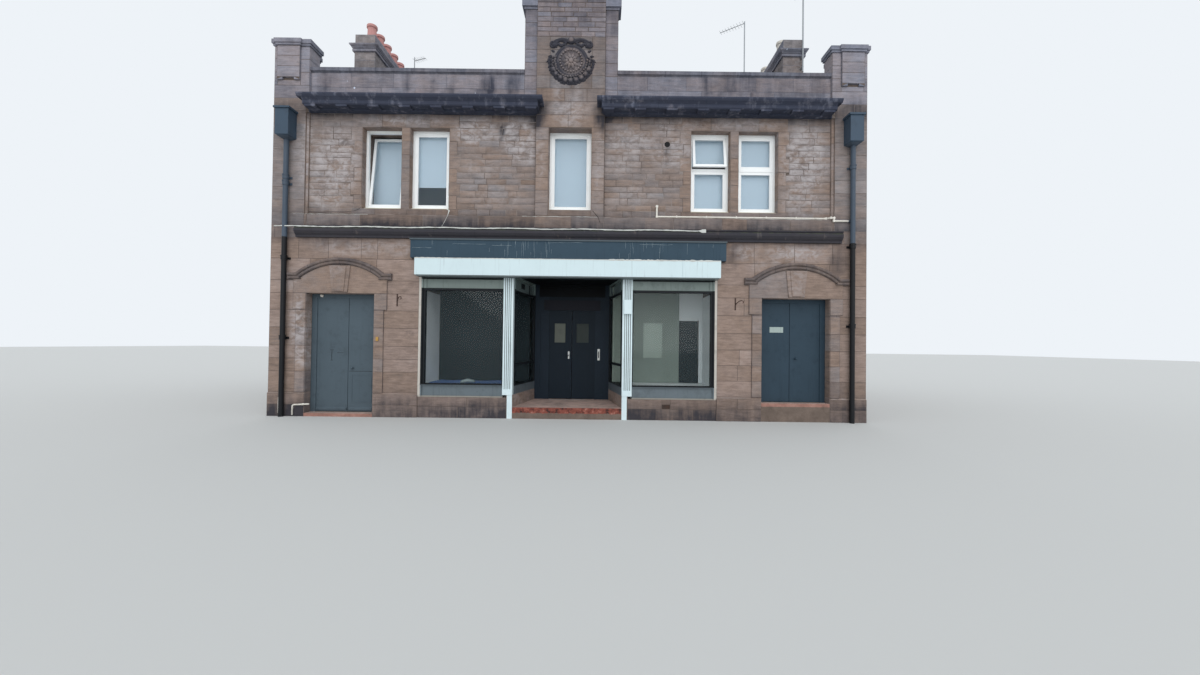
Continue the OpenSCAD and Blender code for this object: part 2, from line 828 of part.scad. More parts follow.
module shop_frames() {
    x0 = post_out;
    x1 = shop_half;
    y0 = shop_frame_y0;
    y1 = shop_frame_y1;
    in_place() color(pale_post) both_sides() {
        difference() {
            block(x0, x1, y0, y1, riser_h, joinery_top);
            block(x0 + 25, x1 - jamb_w - 50, y0 - e, y1 + e, glass_z0, transom_z - 15);
            block(x0 + 40, x1 - jamb_w - 65, y0 - e, y0 + 25, transom_z + 40, joinery_top - 30);
        }
        block(x0, x1, y0 - 40, y0 + e, glass_z0 - 40, glass_z0 - 10);
        block(x0, x1, y0 - 22, y0 + e, riser_h, riser_h + 22);
        block(x0, x1 - jamb_w, y0 - 12, y0 + e, transom_z - 12, transom_z + 20);
        block(x1 - jamb_w, x1, y0 - 32, y0 + e, riser_h + 20, joinery_top);
        along_return() difference() {
            block(return_x0, return_len, -return_t, 0, riser_return_h, joinery_top + 40);
            block(return_x0 + 45, return_len - 45, -return_t - e, e, glass_z0 - 20, return_rail - 25);
            block(return_x0 + 45, return_len - 45, -return_t - e, e, return_rail + 25, transom_z - 20);
            block(return_x0 + 45, return_len - 45, -return_t - e, e, transom_z + 20, joinery_top);
        }
    }
}

module shop_glass() {
    in_place() color(pane) both_sides() {
        block(post_out + 25, shop_half - jamb_w - 50, 60, 72, glass_z0, transom_z - 15);
        along_return() {
            block(return_x0 + 45, return_len - 45, -35, -25, glass_z0 - 20, return_rail - 25);
            block(return_x0 + 45, return_len - 45, -35, -25, return_rail + 25, transom_z - 20);
            block(return_x0 + 45, return_len - 45, -35, -25, transom_z + 20, joinery_top);
        }
    }
}

// Doors. Each frame has a stop in front of the leaves, which open inward on three butt hinges each

stop_lap = 12;
stop_d = 15;
pin_in = 8;
pin_r = 3.5;
knuckle_r = 7;
knuckle_h = 45;
plate_w = 38;
plate_t = 4;

// The hinge axis is the origin, in the gap beside the leaf and pin_in behind its inner face.
// The leaf lies on the +X side and carries the upper sleeve; the frame carries the pin.
module hinge_sleeve() {
    z0 = knuckle_h + 2;
    difference() {
        union() {
            translate([0, 0, z0]) cylinder(r = knuckle_r, h = knuckle_h);
            block(0, plate_w, -pin_in - e, -pin_in - e + plate_t, z0, z0 + knuckle_h);
        }
        translate([0, 0, z0 - e]) cylinder(r = pin_r + 0.5, h = knuckle_h + 2 * e);
    }
}

module hinge_pin() {
    cylinder(r = knuckle_r, h = knuckle_h);
    cylinder(r = pin_r, h = 2 * knuckle_h + 6);
    block(-plate_w, 0, -pin_in - e, -pin_in - e + plate_t, 0, knuckle_h);
}

// Three hinges for a leaf from z0 to z1 whose edge lies at x; side is 1 where the leaf's hinges are on +X
module at_hinges(x, side, inner_y, z0, z1) {
    for (z = [z0 + 180, (z0 + z1) / 2, z1 - 280])
        translate([x + side * leaf_gap / 2, inner_y + pin_in, z]) mirror([side > 0 ? 1 : 0, 0, 0])
            children();
}

// Doorway lining: outer box, then the box of the closed leaves
module door_frame(out_x0, out_x1, y0, y1, out_z0, out_z1, x0, x1, z0, z1) {
    difference() {
        block(out_x0, out_x1, y0, y1, out_z0, out_z1);
        block(x0 + stop_lap, x1 - stop_lap, y0 - e, y1 + e, out_z0 - e, z1 - stop_lap);
        block(x0 - leaf_gap, x1 + leaf_gap, y0 + stop_d, y1 + e, out_z0 - e, z1 + leaf_gap);
    }
    at_hinges(x0, -1, y1, z0, z1) hinge_pin();
    at_hinges(x1, 1, y1, z0, z1) hinge_pin();
}

// Leaf edges: outer edge, meeting line, inner edge; then bottom
side_leaf_top = 2550;
left_leaf = [-5475, -4782, -4230];
left_leaf_z0 = 80;
right_leaf = [4225, 4813, 5480];
right_leaf_z0 = 400;
shop_leaf_half = 570;
shop_leaf_z0 = 252;
shop_leaf_top = 2400;

module side_door_frames() {
    y0 = door_y - stop_d - 5;
    in_place() color(door_grey) {
        door_frame(-door_out, -door_in, y0, door_y + leaf_t, left_step, door_head,
                   left_leaf[0], left_leaf[2], left_leaf_z0, side_leaf_top);
        door_frame(door_in, door_out, y0, door_y + leaf_t, right_step, door_head,
                   right_leaf[0], right_leaf[2], right_leaf_z0, side_leaf_top);
    }
}

// A leaf from x0 to x1 with its hinges on the -X or +X side
module leaf(x0, x1, y0, z0, z1, side) {
    block(x0, x1, y0, y0 + leaf_t, z0, z1);
    at_hinges(side < 0 ? x0 : x1, side, y0 + leaf_t, z0, z1) hinge_sleeve();
}

module weather_rail(x0, x1, y0, z) {
    along_x(x0, x1) polygon([[y0 + e, z], [y0 - 22, z], [y0 - 22, z + 35], [y0, z + 60], [y0 + e, z + 60]]);
}

// A raised bead around a panel
module bead(x0, x1, y0, z0, z1) {
    difference() {
        block(x0, x1, y0 - 6, y0 + e, z0, z1);
        block(x0 + 14, x1 - 14, y0 - 7, y0 + 2, z0 + 14, z1 - 14);
    }
}

module knob(x, y, z) {
    translate([x, y, z]) rotate([90, 0, 0]) {
        cylinder(r = 10, h = 40);
        translate([0, 0, 45]) sphere(r = 26);
        cylinder(r = 28, h = 5);
    }
}

module left_door_leaf_a() {
    in_place() color(door_grey) {
        leaf(left_leaf[0], left_leaf[1] - meet_gap / 2, door_y, left_leaf_z0, side_leaf_top, -1);
        weather_rail(left_leaf[0] + 20, left_leaf[1] - 20, door_y, left_leaf_z0 + 30);
    }
}

module left_door_leaf_b() {
    in_place() color(door_grey) {
        leaf(left_leaf[1] + meet_gap / 2, left_leaf[2], door_y, left_leaf_z0, side_leaf_top, 1);
        weather_rail(left_leaf[1] + 20, left_leaf[2] - 20, door_y, left_leaf_z0 + 30);
        bead(-4700, -4260, door_y, 270, 870);
        knob(-4680, door_y, 1020);
    }
}

module right_door_leaf_a() {
    in_place() color(door_slate) {
        leaf(right_leaf[0], right_leaf[1] - meet_gap / 2, door_y, right_leaf_z0, side_leaf_top, -1);
        block(4380, 4675, door_y - 4, door_y + e, 1900, 2020);
    }
}

module right_door_leaf_b() {
    in_place() color(door_slate) {
        leaf(right_leaf[1] + meet_gap / 2, right_leaf[2], door_y, right_leaf_z0, side_leaf_top, 1);
        knob(4940, door_y, 1340);
    }
}

module lobby_screen() {
    in_place() color(navy) {
        difference() {
            door_frame(-screen_half, screen_half, lobby_d, screen_y1, shop_floor, joinery_top + 40,
                       -shop_leaf_half, shop_leaf_half, shop_leaf_z0, shop_leaf_top);
            block(-screen_half + 100, screen_half - 100, lobby_d - e, lobby_d + 20,
                  transom_z + 20, joinery_top - 20);
            both_sides() block(shop_leaf_half + 50, screen_half - 130, lobby_d - e, lobby_d + 12,
                               shop_floor + 120, shop_leaf_top - 80);
        }
        block(-shop_leaf_half - 120, shop_leaf_half + 120, lobby_d - 30, lobby_d + e, 2420, 2670);
    }
}

pane_z0 = 1630;
pane_z1 = 2100;

// One shop leaf on the +X side, with a glazed pane between x0 and x1 let in from both faces
module shop_leaf(x0, x1) {
    y0 = lobby_d + stop_d + 5;
    difference() {
        leaf(meet_gap / 2, shop_leaf_half, y0, shop_leaf_z0, shop_leaf_top, 1);
        block(x0, x1, y0 - e, y0 + 20, pane_z0, pane_z1);
        block(x0, x1, y0 + 26, y0 + leaf_t + e, pane_z0, pane_z1);
    }
}

module shop_door_leaf_a() {
    in_place() color(navy) {
        on_side(-1) shop_leaf(165, 430);
        translate([-76, lobby_d + stop_d + 5, 1320]) {
            rotate([90, 0, 0]) cylinder(r = 9, h = 55);
            translate([-100, -58, -9]) cube([110, 16, 18]);
        }
    }
}

module shop_door_leaf_b() {
    in_place() color(navy) shop_leaf(110, 410);
}

module door_steps() {
    in_place() color(step_red) {
        raised(0, shop_floor) polygon([
            [-lobby_half, 0], [lobby_half, 0], [screen_half, lobby_d], [screen_half, screen_y1],
            [-screen_half, screen_y1], [-screen_half, lobby_d]]);
        block(-door_out, -door_in, -20, door_y - 20, 0, left_step);
        block(door_in, door_out, -20, door_y - 20, 0, right_step);
    }
}

module lobby_soffit() {
    z0 = joinery_top + 40;
    in_place() color(door_grey) raised(z0, z0 + 50) polygon([
        [-post_out, 0], [post_out, 0], [post_out, post_y1], [screen_half + 80, screen_y1],
        [-screen_half - 80, screen_y1], [-post_out, post_y1]]);
}

grey_half = 3340;
grey_z0 = 3390;
grey_z1 = 3770;
grey_out = 100;

module grey_fascia() {
    in_place() color(fascia_blue) {
        block(-grey_half, grey_half, -grey_out, 0, grey_z0, grey_z1);
        block(-grey_half - 15, grey_half + 15, -grey_out - 20, 0, grey_z1, grey_z1 + 30);
    }
}

white_half = 3190;
white_z1 = 3360;
white_out = 250;

module white_fascia() {
    in_place() color(white) {
        difference() {
            along_x(-white_half, white_half) polygon([
                [0, joinery_top], [-white_out, joinery_top], [-white_out, white_z1 - 12],
                [-white_out + 12, white_z1], [0, white_z1 + 14]]);
            block(2390, 2396, -white_out - e, -white_out + 8, joinery_top - e, white_z1 + 20);
        }
        block(-white_half + 30, white_half - 30, -white_out + 15, -15, joinery_top - 25, joinery_top + e);
    }
}

bed_z = 700;
bed_t = 40;
bed_d = 1150;

module display_beds() {
    in_place() color(white) both_sides() {
        block(1420, shop_half - 10, shop_frame_y1, bed_d, bed_z - bed_t, bed_z);
        block(1420, shop_half - 10, bed_d - 30, bed_d, shop_floor, bed_z - bed_t + e);
        block(shop_half - 40, shop_half - 10, shop_frame_y1, bed_d, bed_z - e, transom_z);
    }
}

// Pipes and aerials

pipe_x = 6020;
pipe_r = 50;
pipe_y = -80;
hopper_x = 6000;
hopper_z0 = 5870;
hopper_z1 = 6490;
hopper_out = 270;

// Hopper head: a lid over a box, drawn in to the pipe below
module hopper() {
    box_z0 = hopper_z0 + 40;
    block(hopper_x - 168, hopper_x + 168, -hopper_out - 25, 0, hopper_z1 - 38, hopper_z1);
    block(hopper_x - 140, hopper_x + 140, -hopper_out, 0, box_z0, hopper_z1 - 37);
    intersection() {
        along_y(-hopper_out, 0) polygon([[pipe_x - 62, hopper_z0], [pipe_x + 62, hopper_z0],
                                         [hopper_x + 140, box_z0 + e], [hopper_x - 140, box_z0 + e]]);
        along_x(hopper_x - 140, hopper_x + 140) polygon([
            [pipe_y - 62, hopper_z0], [pipe_y + 62, hopper_z0], [0, box_z0 + e], [-hopper_out, box_z0 + e]]);
    }
}

// A pipe with a socket and its ears at each of the given heights
module downpipe(sockets) {
    translate([pipe_x, pipe_y, 0]) cylinder(r = pipe_r, h = hopper_z0 + e);
    for (z = sockets)
        translate([pipe_x, pipe_y, z]) {
            cylinder(r = pipe_r + 12, h = 90);
            translate([0, 0, 72]) cylinder(r = pipe_r + 18, h = 22);
            block(-pipe_r - 45, pipe_r + 45, -pipe_y - 14, -pipe_y, 15, 62);
            block(-22, 22, 0, -pipe_y, 15, 62);
        }
    hopper();
}

branch_x = 5948;

module downpipes() {
    in_place() color(pipe_dark) {
        on_side(-1) downpipe([1620, 3310, 4900, 5030]);
        downpipe([2000, 3690, 5375]);
        translate([branch_x, waste_out, waste_low]) rotate([0, 90, 0]) cylinder(r = 28, h = 40);
    }
}

waste_r = 20;
waste_in = 32;
waste_out = -32;
waste_high = 4349;
waste_low = 4285;

// Bends of the waste pipe, each with the axis of its round fitting: down from the wall, along the foot
// of the field, out to the pier's face, down a step and on to the downpipe
waste_route = [[[1876, waste_in, 4570], "y"], [[1876, waste_in, waste_high], "y"],
               [[5500, waste_in, waste_high], "z"], [[5575, waste_out, waste_high], "z"],
               [[5640, waste_out, waste_high], "y"], [[5640, waste_out, waste_low], "y"],
               [[branch_x, waste_out, waste_low], ""]];

module waste_fitting(axis) {
    rotate(axis == "y" ? [90, 40, 0] : [0, 0, 40])
        cylinder(r = waste_r + 6, h = 2 * waste_r + 8, center = true);
}

module waste_pipe() {
    in_place() color(white) {
        for (i = [0 : len(waste_route) - 2]) {
            p = waste_route[i][0];
            run = waste_route[i + 1][0] - p;
            translate(p) {
                rotate([0, acos(run[2] / norm(run)), atan2(run[1], run[0])]) rotate(25)
                    cylinder(r = waste_r, h = norm(run));
                waste_fitting(waste_route[i][1]);
            }
        }
        translate([1876, field_y, 4570]) rotate([90, 0, 0]) cylinder(r = waste_r + 12, h = 8);
        for (x = [2300 : 640 : 5200])
            block(x - 9, x + 9, waste_in - 26, field_y, waste_high - 26, waste_high + 26);
    }
}

// The head of an aerial: a boom running toward -X with rods across it, the longest at its foot
module aerial_head(boom, rods, rod_len) {
    rotate([0, -90, 0]) cylinder(r = 9, h = boom);
    for (i = [0 : rods - 1])
        translate([-30 - i * (boom - 50) / (rods - 1), 0, 0]) rotate([90, 0, 0])
            translate([0, 0, -rod_len * (1 - 0.04 * i) / 2])
                cylinder(r = 4, h = rod_len * (1 - 0.04 * i));
}

module aerials() {
    ridge_foot = ridge_z + 25;
    mast_y = stack_y0 - 140;
    in_place() color(steel) {
        translate([5090, ridge_y, ridge_foot]) {
            cylinder(r = 17, h = 11730 - ridge_foot);
            translate([0, 0, 2000]) rotate([0, 0, -35]) aerial_head(790, 9, 300);
        }
        translate([6280, mast_y, 9300]) {
            cylinder(r = 20, h = mast_top - 9300);
            for (z = [120, 420]) block(-25, 25, 0, stack_y0 - mast_y, z, z + 40);
            translate([0, 0, mast_top - 9300 - 90]) rotate([0, 0, -90]) aerial_head(560, 7, 340);
        }
        translate([-5200, ridge_y, ridge_foot]) {
            cylinder(r = 14, h = 10480 - ridge_foot);
            translate([0, 0, 690]) rotate([0, 0, 160]) aerial_head(420, 6, 240);
        }
    }
}

front_pier(-1);  // front_pier_left
front_pier(1);  // front_pier_right
side_door_lintels();
wall_beside_shop(-1);  // wall_left_of_shop
wall_beside_shop(1);  // wall_right_of_shop
shop_beam();
stall_riser(-1);  // stall_riser_left
stall_riser(1, 2020);  // stall_riser_right
string_course();
upper_wall(-1);  // upper_wall_left
upper_wall_centre();
upper_wall(1);  // upper_wall_right
cornice();
parapet_walls();
parapet_piers();
centre_block();
crest();
hood_moulds();
gable(-1);  // gable_left
gable(1);  // gable_right
rear_wall();
chimney_stacks();
chimney_pots();
roof_front();
roof_rear();
roof_ridge();
parapet_gutter();
rear_rainwater();
ground_floor();
first_floor();
upper_ceiling();
window_frames();
window_glass();
shop_posts();
shop_frames();
shop_glass();
lobby_screen();
lobby_soffit();
grey_fascia();
white_fascia();
display_beds();
side_door_frames();
left_door_leaf_a();
left_door_leaf_b();
right_door_leaf_a();
right_door_leaf_b();
shop_door_leaf_a();
shop_door_leaf_b();
door_steps();
downpipes();
waste_pipe();
aerials();
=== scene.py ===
import math
import random
from collections import namedtuple

import bmesh
import bpy
import numpy as np
from mathutils import Matrix, Vector


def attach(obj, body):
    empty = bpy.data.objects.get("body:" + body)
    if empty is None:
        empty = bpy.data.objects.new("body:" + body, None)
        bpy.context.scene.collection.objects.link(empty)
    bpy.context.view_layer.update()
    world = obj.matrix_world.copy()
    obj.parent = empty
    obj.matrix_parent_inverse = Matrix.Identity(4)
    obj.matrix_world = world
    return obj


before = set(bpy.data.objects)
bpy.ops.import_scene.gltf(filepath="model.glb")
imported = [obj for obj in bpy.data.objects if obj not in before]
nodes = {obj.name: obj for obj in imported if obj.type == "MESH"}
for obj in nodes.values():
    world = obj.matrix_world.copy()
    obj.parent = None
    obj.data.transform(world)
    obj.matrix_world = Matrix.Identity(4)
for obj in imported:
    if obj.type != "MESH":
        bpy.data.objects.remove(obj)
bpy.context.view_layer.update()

scene = bpy.context.scene

# Lengths are metres. The wall's street face is at FACE_Y in the frame; most y values count from it
FACE_Y = -4.345
HALF_W = 6.36
INNER_HALF = 5.78
DEPTH = 8.72
WALL_T = 0.58
RIDGE_Y = 4.36
RIDGE_Z = 9.65
SLOPE = math.tan(math.radians(36))


def roof_at(y):
    """Height of the slates' bed at distance y behind the street face"""
    return RIDGE_Z - abs(y - RIDGE_Y) * SLOPE


def srgb(*channels):
    """The linear colour of an 8-bit one"""
    shares = [c / 255 for c in channels]
    return (*[c / 12.92 if c <= 0.04045 else ((c + 0.055) / 1.055) ** 2.4 for c in shares], 1.0)


# Materials

class Value:
    """A value in a node tree, which takes part in sums and comparisons"""

    def __init__(self, graph, socket):
        self.graph, self.socket = graph, socket

    def output(self, name):
        """Another output of the same node"""
        return Value(self.graph, self.socket.node.outputs[name])

    def __add__(self, other):
        return self.graph.math("ADD", self, other)

    def __sub__(self, other):
        return self.graph.math("SUBTRACT", self, other)

    def __rsub__(self, other):
        return self.graph.math("SUBTRACT", other, self)

    def __mul__(self, other):
        return self.graph.math("MULTIPLY", self, other)

    def __gt__(self, other):
        return self.graph.math("GREATER_THAN", self, other)

    def __lt__(self, other):
        return self.graph.math("LESS_THAN", self, other)

    def __abs__(self):
        return self.graph.math("ABSOLUTE", self)

    __radd__ = __add__
    __rmul__ = __mul__

    def at_least(self, other):
        return self.graph.math("MAXIMUM", self, other)

    def at_most(self, other):
        return self.graph.math("MINIMUM", self, other)

    def swing(self, amount):
        """How far the value is from a half, times an amount"""
        return (self - 0.5) * amount


class Graph:
    """A short way to lay out a node tree"""

    def __init__(self, owner):
        owner.use_nodes = True
        self.owner, self.tree = owner, owner.node_tree
        self.tree.nodes.clear()

    def feed(self, socket, value):
        if isinstance(value, Value):
            self.tree.links.new(value.socket, socket)
        else:
            socket.default_value = value[:3] if socket.type == "VECTOR" else value

    def add(self, kind, inputs=(), output=0, **settings):
        """A new node with its inputs fed, as the value of one of its outputs"""
        made = self.tree.nodes.new(kind)
        for key, value in settings.items():
            setattr(made, key, value)
        for key, value in dict(inputs).items():
            self.feed(made.inputs[key], value)
        return None if output is None else Value(self, made.outputs[output])

    def math(self, operation, a, b=0.0, clamp=False):
        return self.add("ShaderNodeMath", {0: a, 1: b}, operation=operation, use_clamp=clamp)


class Surface(Graph):
    """A material's tree, with the textures that the surfaces here are made of"""

    def __init__(self, name):
        super().__init__(bpy.data.materials.new(name))
        shader = self.add("ShaderNodeBsdfPrincipled")
        self.inputs = shader.socket.node.inputs
        self.add("ShaderNodeOutputMaterial", {"Surface": shader}, None)
        self.coords = self.add("ShaderNodeTexCoord", output="Object")
        self.parts = self.add("ShaderNodeSeparateXYZ", {0: self.coords})

    def set(self, **values):
        for key, value in values.items():
            self.feed(self.inputs[key.replace("_", " ")], value)

    def along(self, axis):
        return self.parts.output(axis)

    def stretched(self, stretch, shift=(0, 0, 0)):
        return self.add("ShaderNodeVectorMath", {0: self.coords, 1: stretch, 2: shift},
                        operation="MULTIPLY_ADD")

    def noise(self, scale, detail=4.0, rough=0.55, stretch=(1, 1, 1), shift=(0, 0, 0), twist=0.0):
        return self.add("ShaderNodeTexNoise", {
            "Vector": self.stretched(stretch, shift), "Scale": scale, "Detail": detail,
            "Roughness": rough, "Distortion": twist}, "Fac")

    def cells(self, scale):
        return self.add("ShaderNodeTexVoronoi", {"Vector": self.coords, "Scale": scale}, "Distance")

    def remap(self, value, low, high, to_low=0.0, to_high=1.0):
        return self.add("ShaderNodeMapRange", enumerate((value, low, high, to_low, to_high)),
                        interpolation_type="SMOOTHSTEP")

    def mix(self, share, a, b, mode="MIX"):
        return self.add("ShaderNodeMix", {0: share, 6: a, 7: b}, 2, data_type="RGBA", blend_type=mode)

    def tinted(self, colour, tint):
        return self.mix(1.0, colour, (*tint, 1.0), "MULTIPLY")

    def scaled(self, colour, factor):
        return self.add("ShaderNodeVectorMath", {0: colour, 3: factor}, operation="SCALE")

    def ramp(self, value, *stops):
        made = self.add("ShaderNodeValToRGB", {0: value})
        steps = made.socket.node.color_ramp.elements
        while len(steps) < len(stops):
            steps.new(0.5)
        for step, (place, colour) in zip(steps, stops):
            step.position = place
            step.color = colour
        return made

    def tone(self):
        """Shade, hue, soot and bleach of a stone, which its mesh carries"""
        read = self.add("ShaderNodeAttribute", output="Color", attribute_name="tone")
        parts = self.add("ShaderNodeSeparateColor", {0: read})
        return parts, parts.output(1), parts.output(2), read.output("Alpha")

    def upward(self):
        """How far the surface faces up"""
        normal = self.add("ShaderNodeNewGeometry", output="Normal")
        return self.add("ShaderNodeSeparateXYZ", {0: normal}, 2)

    def bump(self, *layers):
        """Bump from (height, distance) pairs, coarse to fine"""
        inputs = {"Strength": 1.0}
        for height, distance in layers:
            inputs.update(Height=height, Distance=distance)
            inputs["Normal"] = self.add("ShaderNodeBump", inputs)
        self.set(Normal=inputs["Normal"])

    def band(self, axis, low, high, size_only=False):
        """1 where a coordinate, or its size, lies between low and high"""
        value = abs(self.along(axis)) if size_only else self.along(axis)
        return (value > low) * (value < high)

    def joints(self, axis, spacing, shift, width=0.007):
        """1 on the narrow joints of a moulded course, else 0"""
        place = self.math("FRACT", self.along(axis) * (1 / spacing) + shift)
        return abs(place - 0.5) > 0.5 - width / 2 / spacing


STONE_HUES = [(0.0, srgb(140, 137, 140)), (0.22, srgb(145, 133, 129)), (0.45, srgb(146, 126, 114)),
              (0.7, srgb(158, 139, 130)), (0.88, srgb(168, 153, 146)), (1.0, srgb(130, 121, 124))]
# Dark colour for soot, for dark joints, and for painted shade where the soot amount carries it
SOOT_AND_SHADE = srgb(50, 51, 59)
BLEACH = srgb(190, 183, 184)
MOSS = srgb(84, 92, 66)
SPECK = srgb(214, 216, 218)
SPECKS_FROM_Z = 6.55


def weathered(g, hue, shade, soot_and_shade, bleach):
    """Colour of sandstone with its mottling, soot and bleached skin; its soot amount also carries any
    painted shade that is passed in
    """
    mottle = g.noise(2.3, 5, 0.6)
    grain = g.noise(95, 3, 0.7)
    beds = g.noise(3.0, 4, 0.6, (1, 1, 9), (3.1, 0.7, 5.2))
    riven = g.noise(2.6, 5, 0.7, (1, 1, 26), (1.1, 6.2, 0.9))
    patch = g.noise(4.2, 5, 0.68, (1, 1, 2.6), (2.2, 9.1, 4.7), 0.4)
    drift = g.math("ADD", mottle.swing(0.45) + hue, beds.swing(0.3), clamp=True)
    light = shade * 0.56 + 0.67 + grain.swing(0.8) + beds.swing(0.5) + riven.swing(0.6) + patch.swing(0.9)
    colour = g.scaled(g.ramp(drift, *STONE_HUES), light)
    flake = g.noise(5.5, 6, 0.68, (1, 1, 1.5), (1.3, 4.0, 2.2), 0.6)
    colour = g.mix((g.remap(flake, 0.34, 0.66) * bleach).at_most(0.85), colour, BLEACH)
    run = g.noise(1.0, 5, 0.62, (9, 9, 0.9))
    cloud = g.noise(3.4, 5, 0.65, (1, 1, 1), (7.7, 1.9, 0.4))
    dirt = g.math("MULTIPLY", soot_and_shade, (run + cloud) * 1.5 - 0.5, clamp=True)
    crevice = g.remap(g.noise(1.7, 5, 0.7, (1, 1, 1), (0.4, 8.8, 3.3)), 0.56, 0.74, 0.0, 0.34)
    colour = g.mix(dirt.at_least(crevice).at_most(0.93), colour, SOOT_AND_SHADE)
    fleck = g.cells(3.1) < g.remap(g.noise(0.9, 3, 0.5), 0.45, 0.75, 0.0, 0.075)
    return g.mix(fleck * (g.along("Z") > SPECKS_FROM_Z) * 0.8, colour, SPECK)


def stone_skin(name, rough, tint=(1.0, 1.0, 1.0)):
    """Stones whose own tones are in the mesh"""
    g = Surface(name)
    shade, hue, soot_and_shade, bleach = g.tone()
    colour = g.tinted(weathered(g, hue, shade, soot_and_shade, bleach), tint)
    g.set(Base_Color=colour, Roughness=0.93, Specular_IOR_Level=0.25)
    pits = g.remap(g.cells(34), 0.05, 0.4)
    g.bump((g.noise(7, 5, 0.6), 0.004 * rough), (g.noise(9, 3, 0.6, (1, 1, 11)), 0.003 * rough),
           (pits, 0.0015 * rough), (g.noise(150, 3, 0.7), 0.0012))
    return g.owner


def cut_stone(name, soot_and_shade=0.1, bleach=0.1, joint=None, moss=0.0, hue=0.42, shade=0.5,
              tint=(1.0, 1.0, 1.0), disc=None, sooty_half=None):
    """Moulded or dressed stone on the frame's own surfaces, with joints across it"""
    g = Surface(name)
    place = g.noise(0.9, 2, 0.5, (1, 1, 0.4), (5, 5, 5))
    if disc:
        # Raised carving gets less soot than the deeper ground, which paints shade into the carving's
        # recesses; the round field of this middle height and radius is cleaner
        mid_z, radius = disc
        up, across = g.along("Z") - mid_z, g.along("X")
        away = g.math("SQRT", up * up + across * across)
        relief = g.remap(g.along("Y"), FACE_Y - 0.085, FACE_Y - 0.04, 0.3, 1.0)
        soot_and_shade = g.remap(away, radius - 0.02, radius + 0.02, 0.55, 1.0) * relief * soot_and_shade
    if sooty_half:
        # The soot stops short of the ends, where the piers are washed
        soot_and_shade = g.band("X", -1.0, sooty_half, True) * (soot_and_shade - 0.3) + 0.3
    colour = weathered(g, place.swing(0.7) + hue, shade, soot_and_shade, g.remap(place, 0.4, 0.65) * bleach)
    layers = [(g.noise(7, 5, 0.6), 0.004), (g.noise(120, 3, 0.7), 0.0014)]
    if moss:
        growth = g.remap(g.upward(), 0.2, 0.8) * g.remap(g.noise(6, 5, 0.7), 0.4, 0.62)
        colour = g.mix(growth * moss, colour, MOSS)
    if joint:
        line = g.joints(*joint)
        colour = g.mix(line * 0.75, colour, SOOT_AND_SHADE)
        layers.insert(0, (1.0 - line, 0.004))
    g.set(Base_Color=g.tinted(colour, tint), Roughness=0.93, Specular_IOR_Level=0.25)
    g.bump(*layers)
    return g.owner


def mortar(name, tint):
    """The bed of the joints between stones"""
    g = Surface(name)
    colour = g.mix(g.remap(g.noise(2.1, 4, 0.6), 0.4, 0.62), tint, srgb(96, 84, 77))
    g.set(Base_Color=g.mix(g.noise(70, 3, 0.7) * 0.4, colour, srgb(80, 72, 68)), Roughness=0.97)
    g.bump((g.noise(90, 4, 0.7), 0.002))
    return g.owner


def coating(name, colour, roughness, dirt=(70, 68, 64), share=0.35, streaks=0.5, wear=None,
            metallic=0.0, grain=(60, 0.0004), spec=0.5, clouds=0.12, parts=()):
    """Paint, plastic or metal with dirt that gathers in clouds and runs, and worn spots.
    Each of parts is another colour and the bands (axis, low, high, size only) it fills"""
    g = Surface(name)
    paint = srgb(*colour)
    for other, bands in parts:
        inside = g.band(*bands[0])
        for band in bands[1:]:
            inside = inside * g.band(*band)
        paint = g.mix(inside, paint, srgb(*other))
    paint = g.scaled(paint, g.noise(1.6, 4, 0.6).swing(clouds * 2) + 1.0)
    cloud = g.remap(g.noise(4.5, 6, 0.7), 0.5, 0.72)
    runs = g.remap(g.noise(1.0, 5, 0.65, (26, 26, 1.1)), 0.54, 0.74)
    spots = (cloud * (1 - streaks)).at_least(runs * streaks)
    paint = g.mix(spots * share, paint, srgb(*dirt))
    if wear:
        worn_colour, threshold = wear
        worn = g.remap(g.noise(14, 6, 0.75, (1, 1, 0.6)), threshold, threshold + 0.03)
        paint = g.mix(worn, paint, srgb(*worn_colour))
    g.set(Base_Color=paint, Roughness=spots * 0.25 + roughness, Metallic=metallic, Specular_IOR_Level=spec)
    grain_scale, grain_height = grain
    g.bump((g.noise(grain_scale, 4, 0.6), grain_height))
    return g.owner


def glazing(name, colour, alpha):
    g = Surface(name)
    haze = g.noise(1.4, 4, 0.6)
    g.set(Base_Color=g.scaled(srgb(*colour), haze * 0.3 + 0.85), Alpha=alpha, IOR=1.5,
          Roughness=g.remap(haze, 0.3, 0.8, 0.02, 0.08), Specular_IOR_Level=1.0)
    return g.owner


def cloth(name, colour):
    g = Surface(name)
    weave = g.noise(1, 2, 0.5, (700, 700, 60)) * g.noise(1, 2, 0.5, (60, 60, 700))
    g.set(Base_Color=g.scaled(srgb(*colour), weave * 0.5 + 0.88), Roughness=0.9)
    g.bump((weave, 0.0004))
    return g.owner


def boards(name, colour, width):
    g = Surface(name)
    line = g.joints("X", width, 0.0, 0.004)
    grain = g.noise(2.0, 5, 0.6, (12, 1.5, 12))
    tint = g.scaled(srgb(*colour), grain * 0.5 + 0.75)
    g.set(Base_Color=g.mix(line * 0.7, tint, srgb(30, 26, 24)), Roughness=0.7)
    g.bump((1.0 - line, 0.003), (grain, 0.0008))
    return g.owner


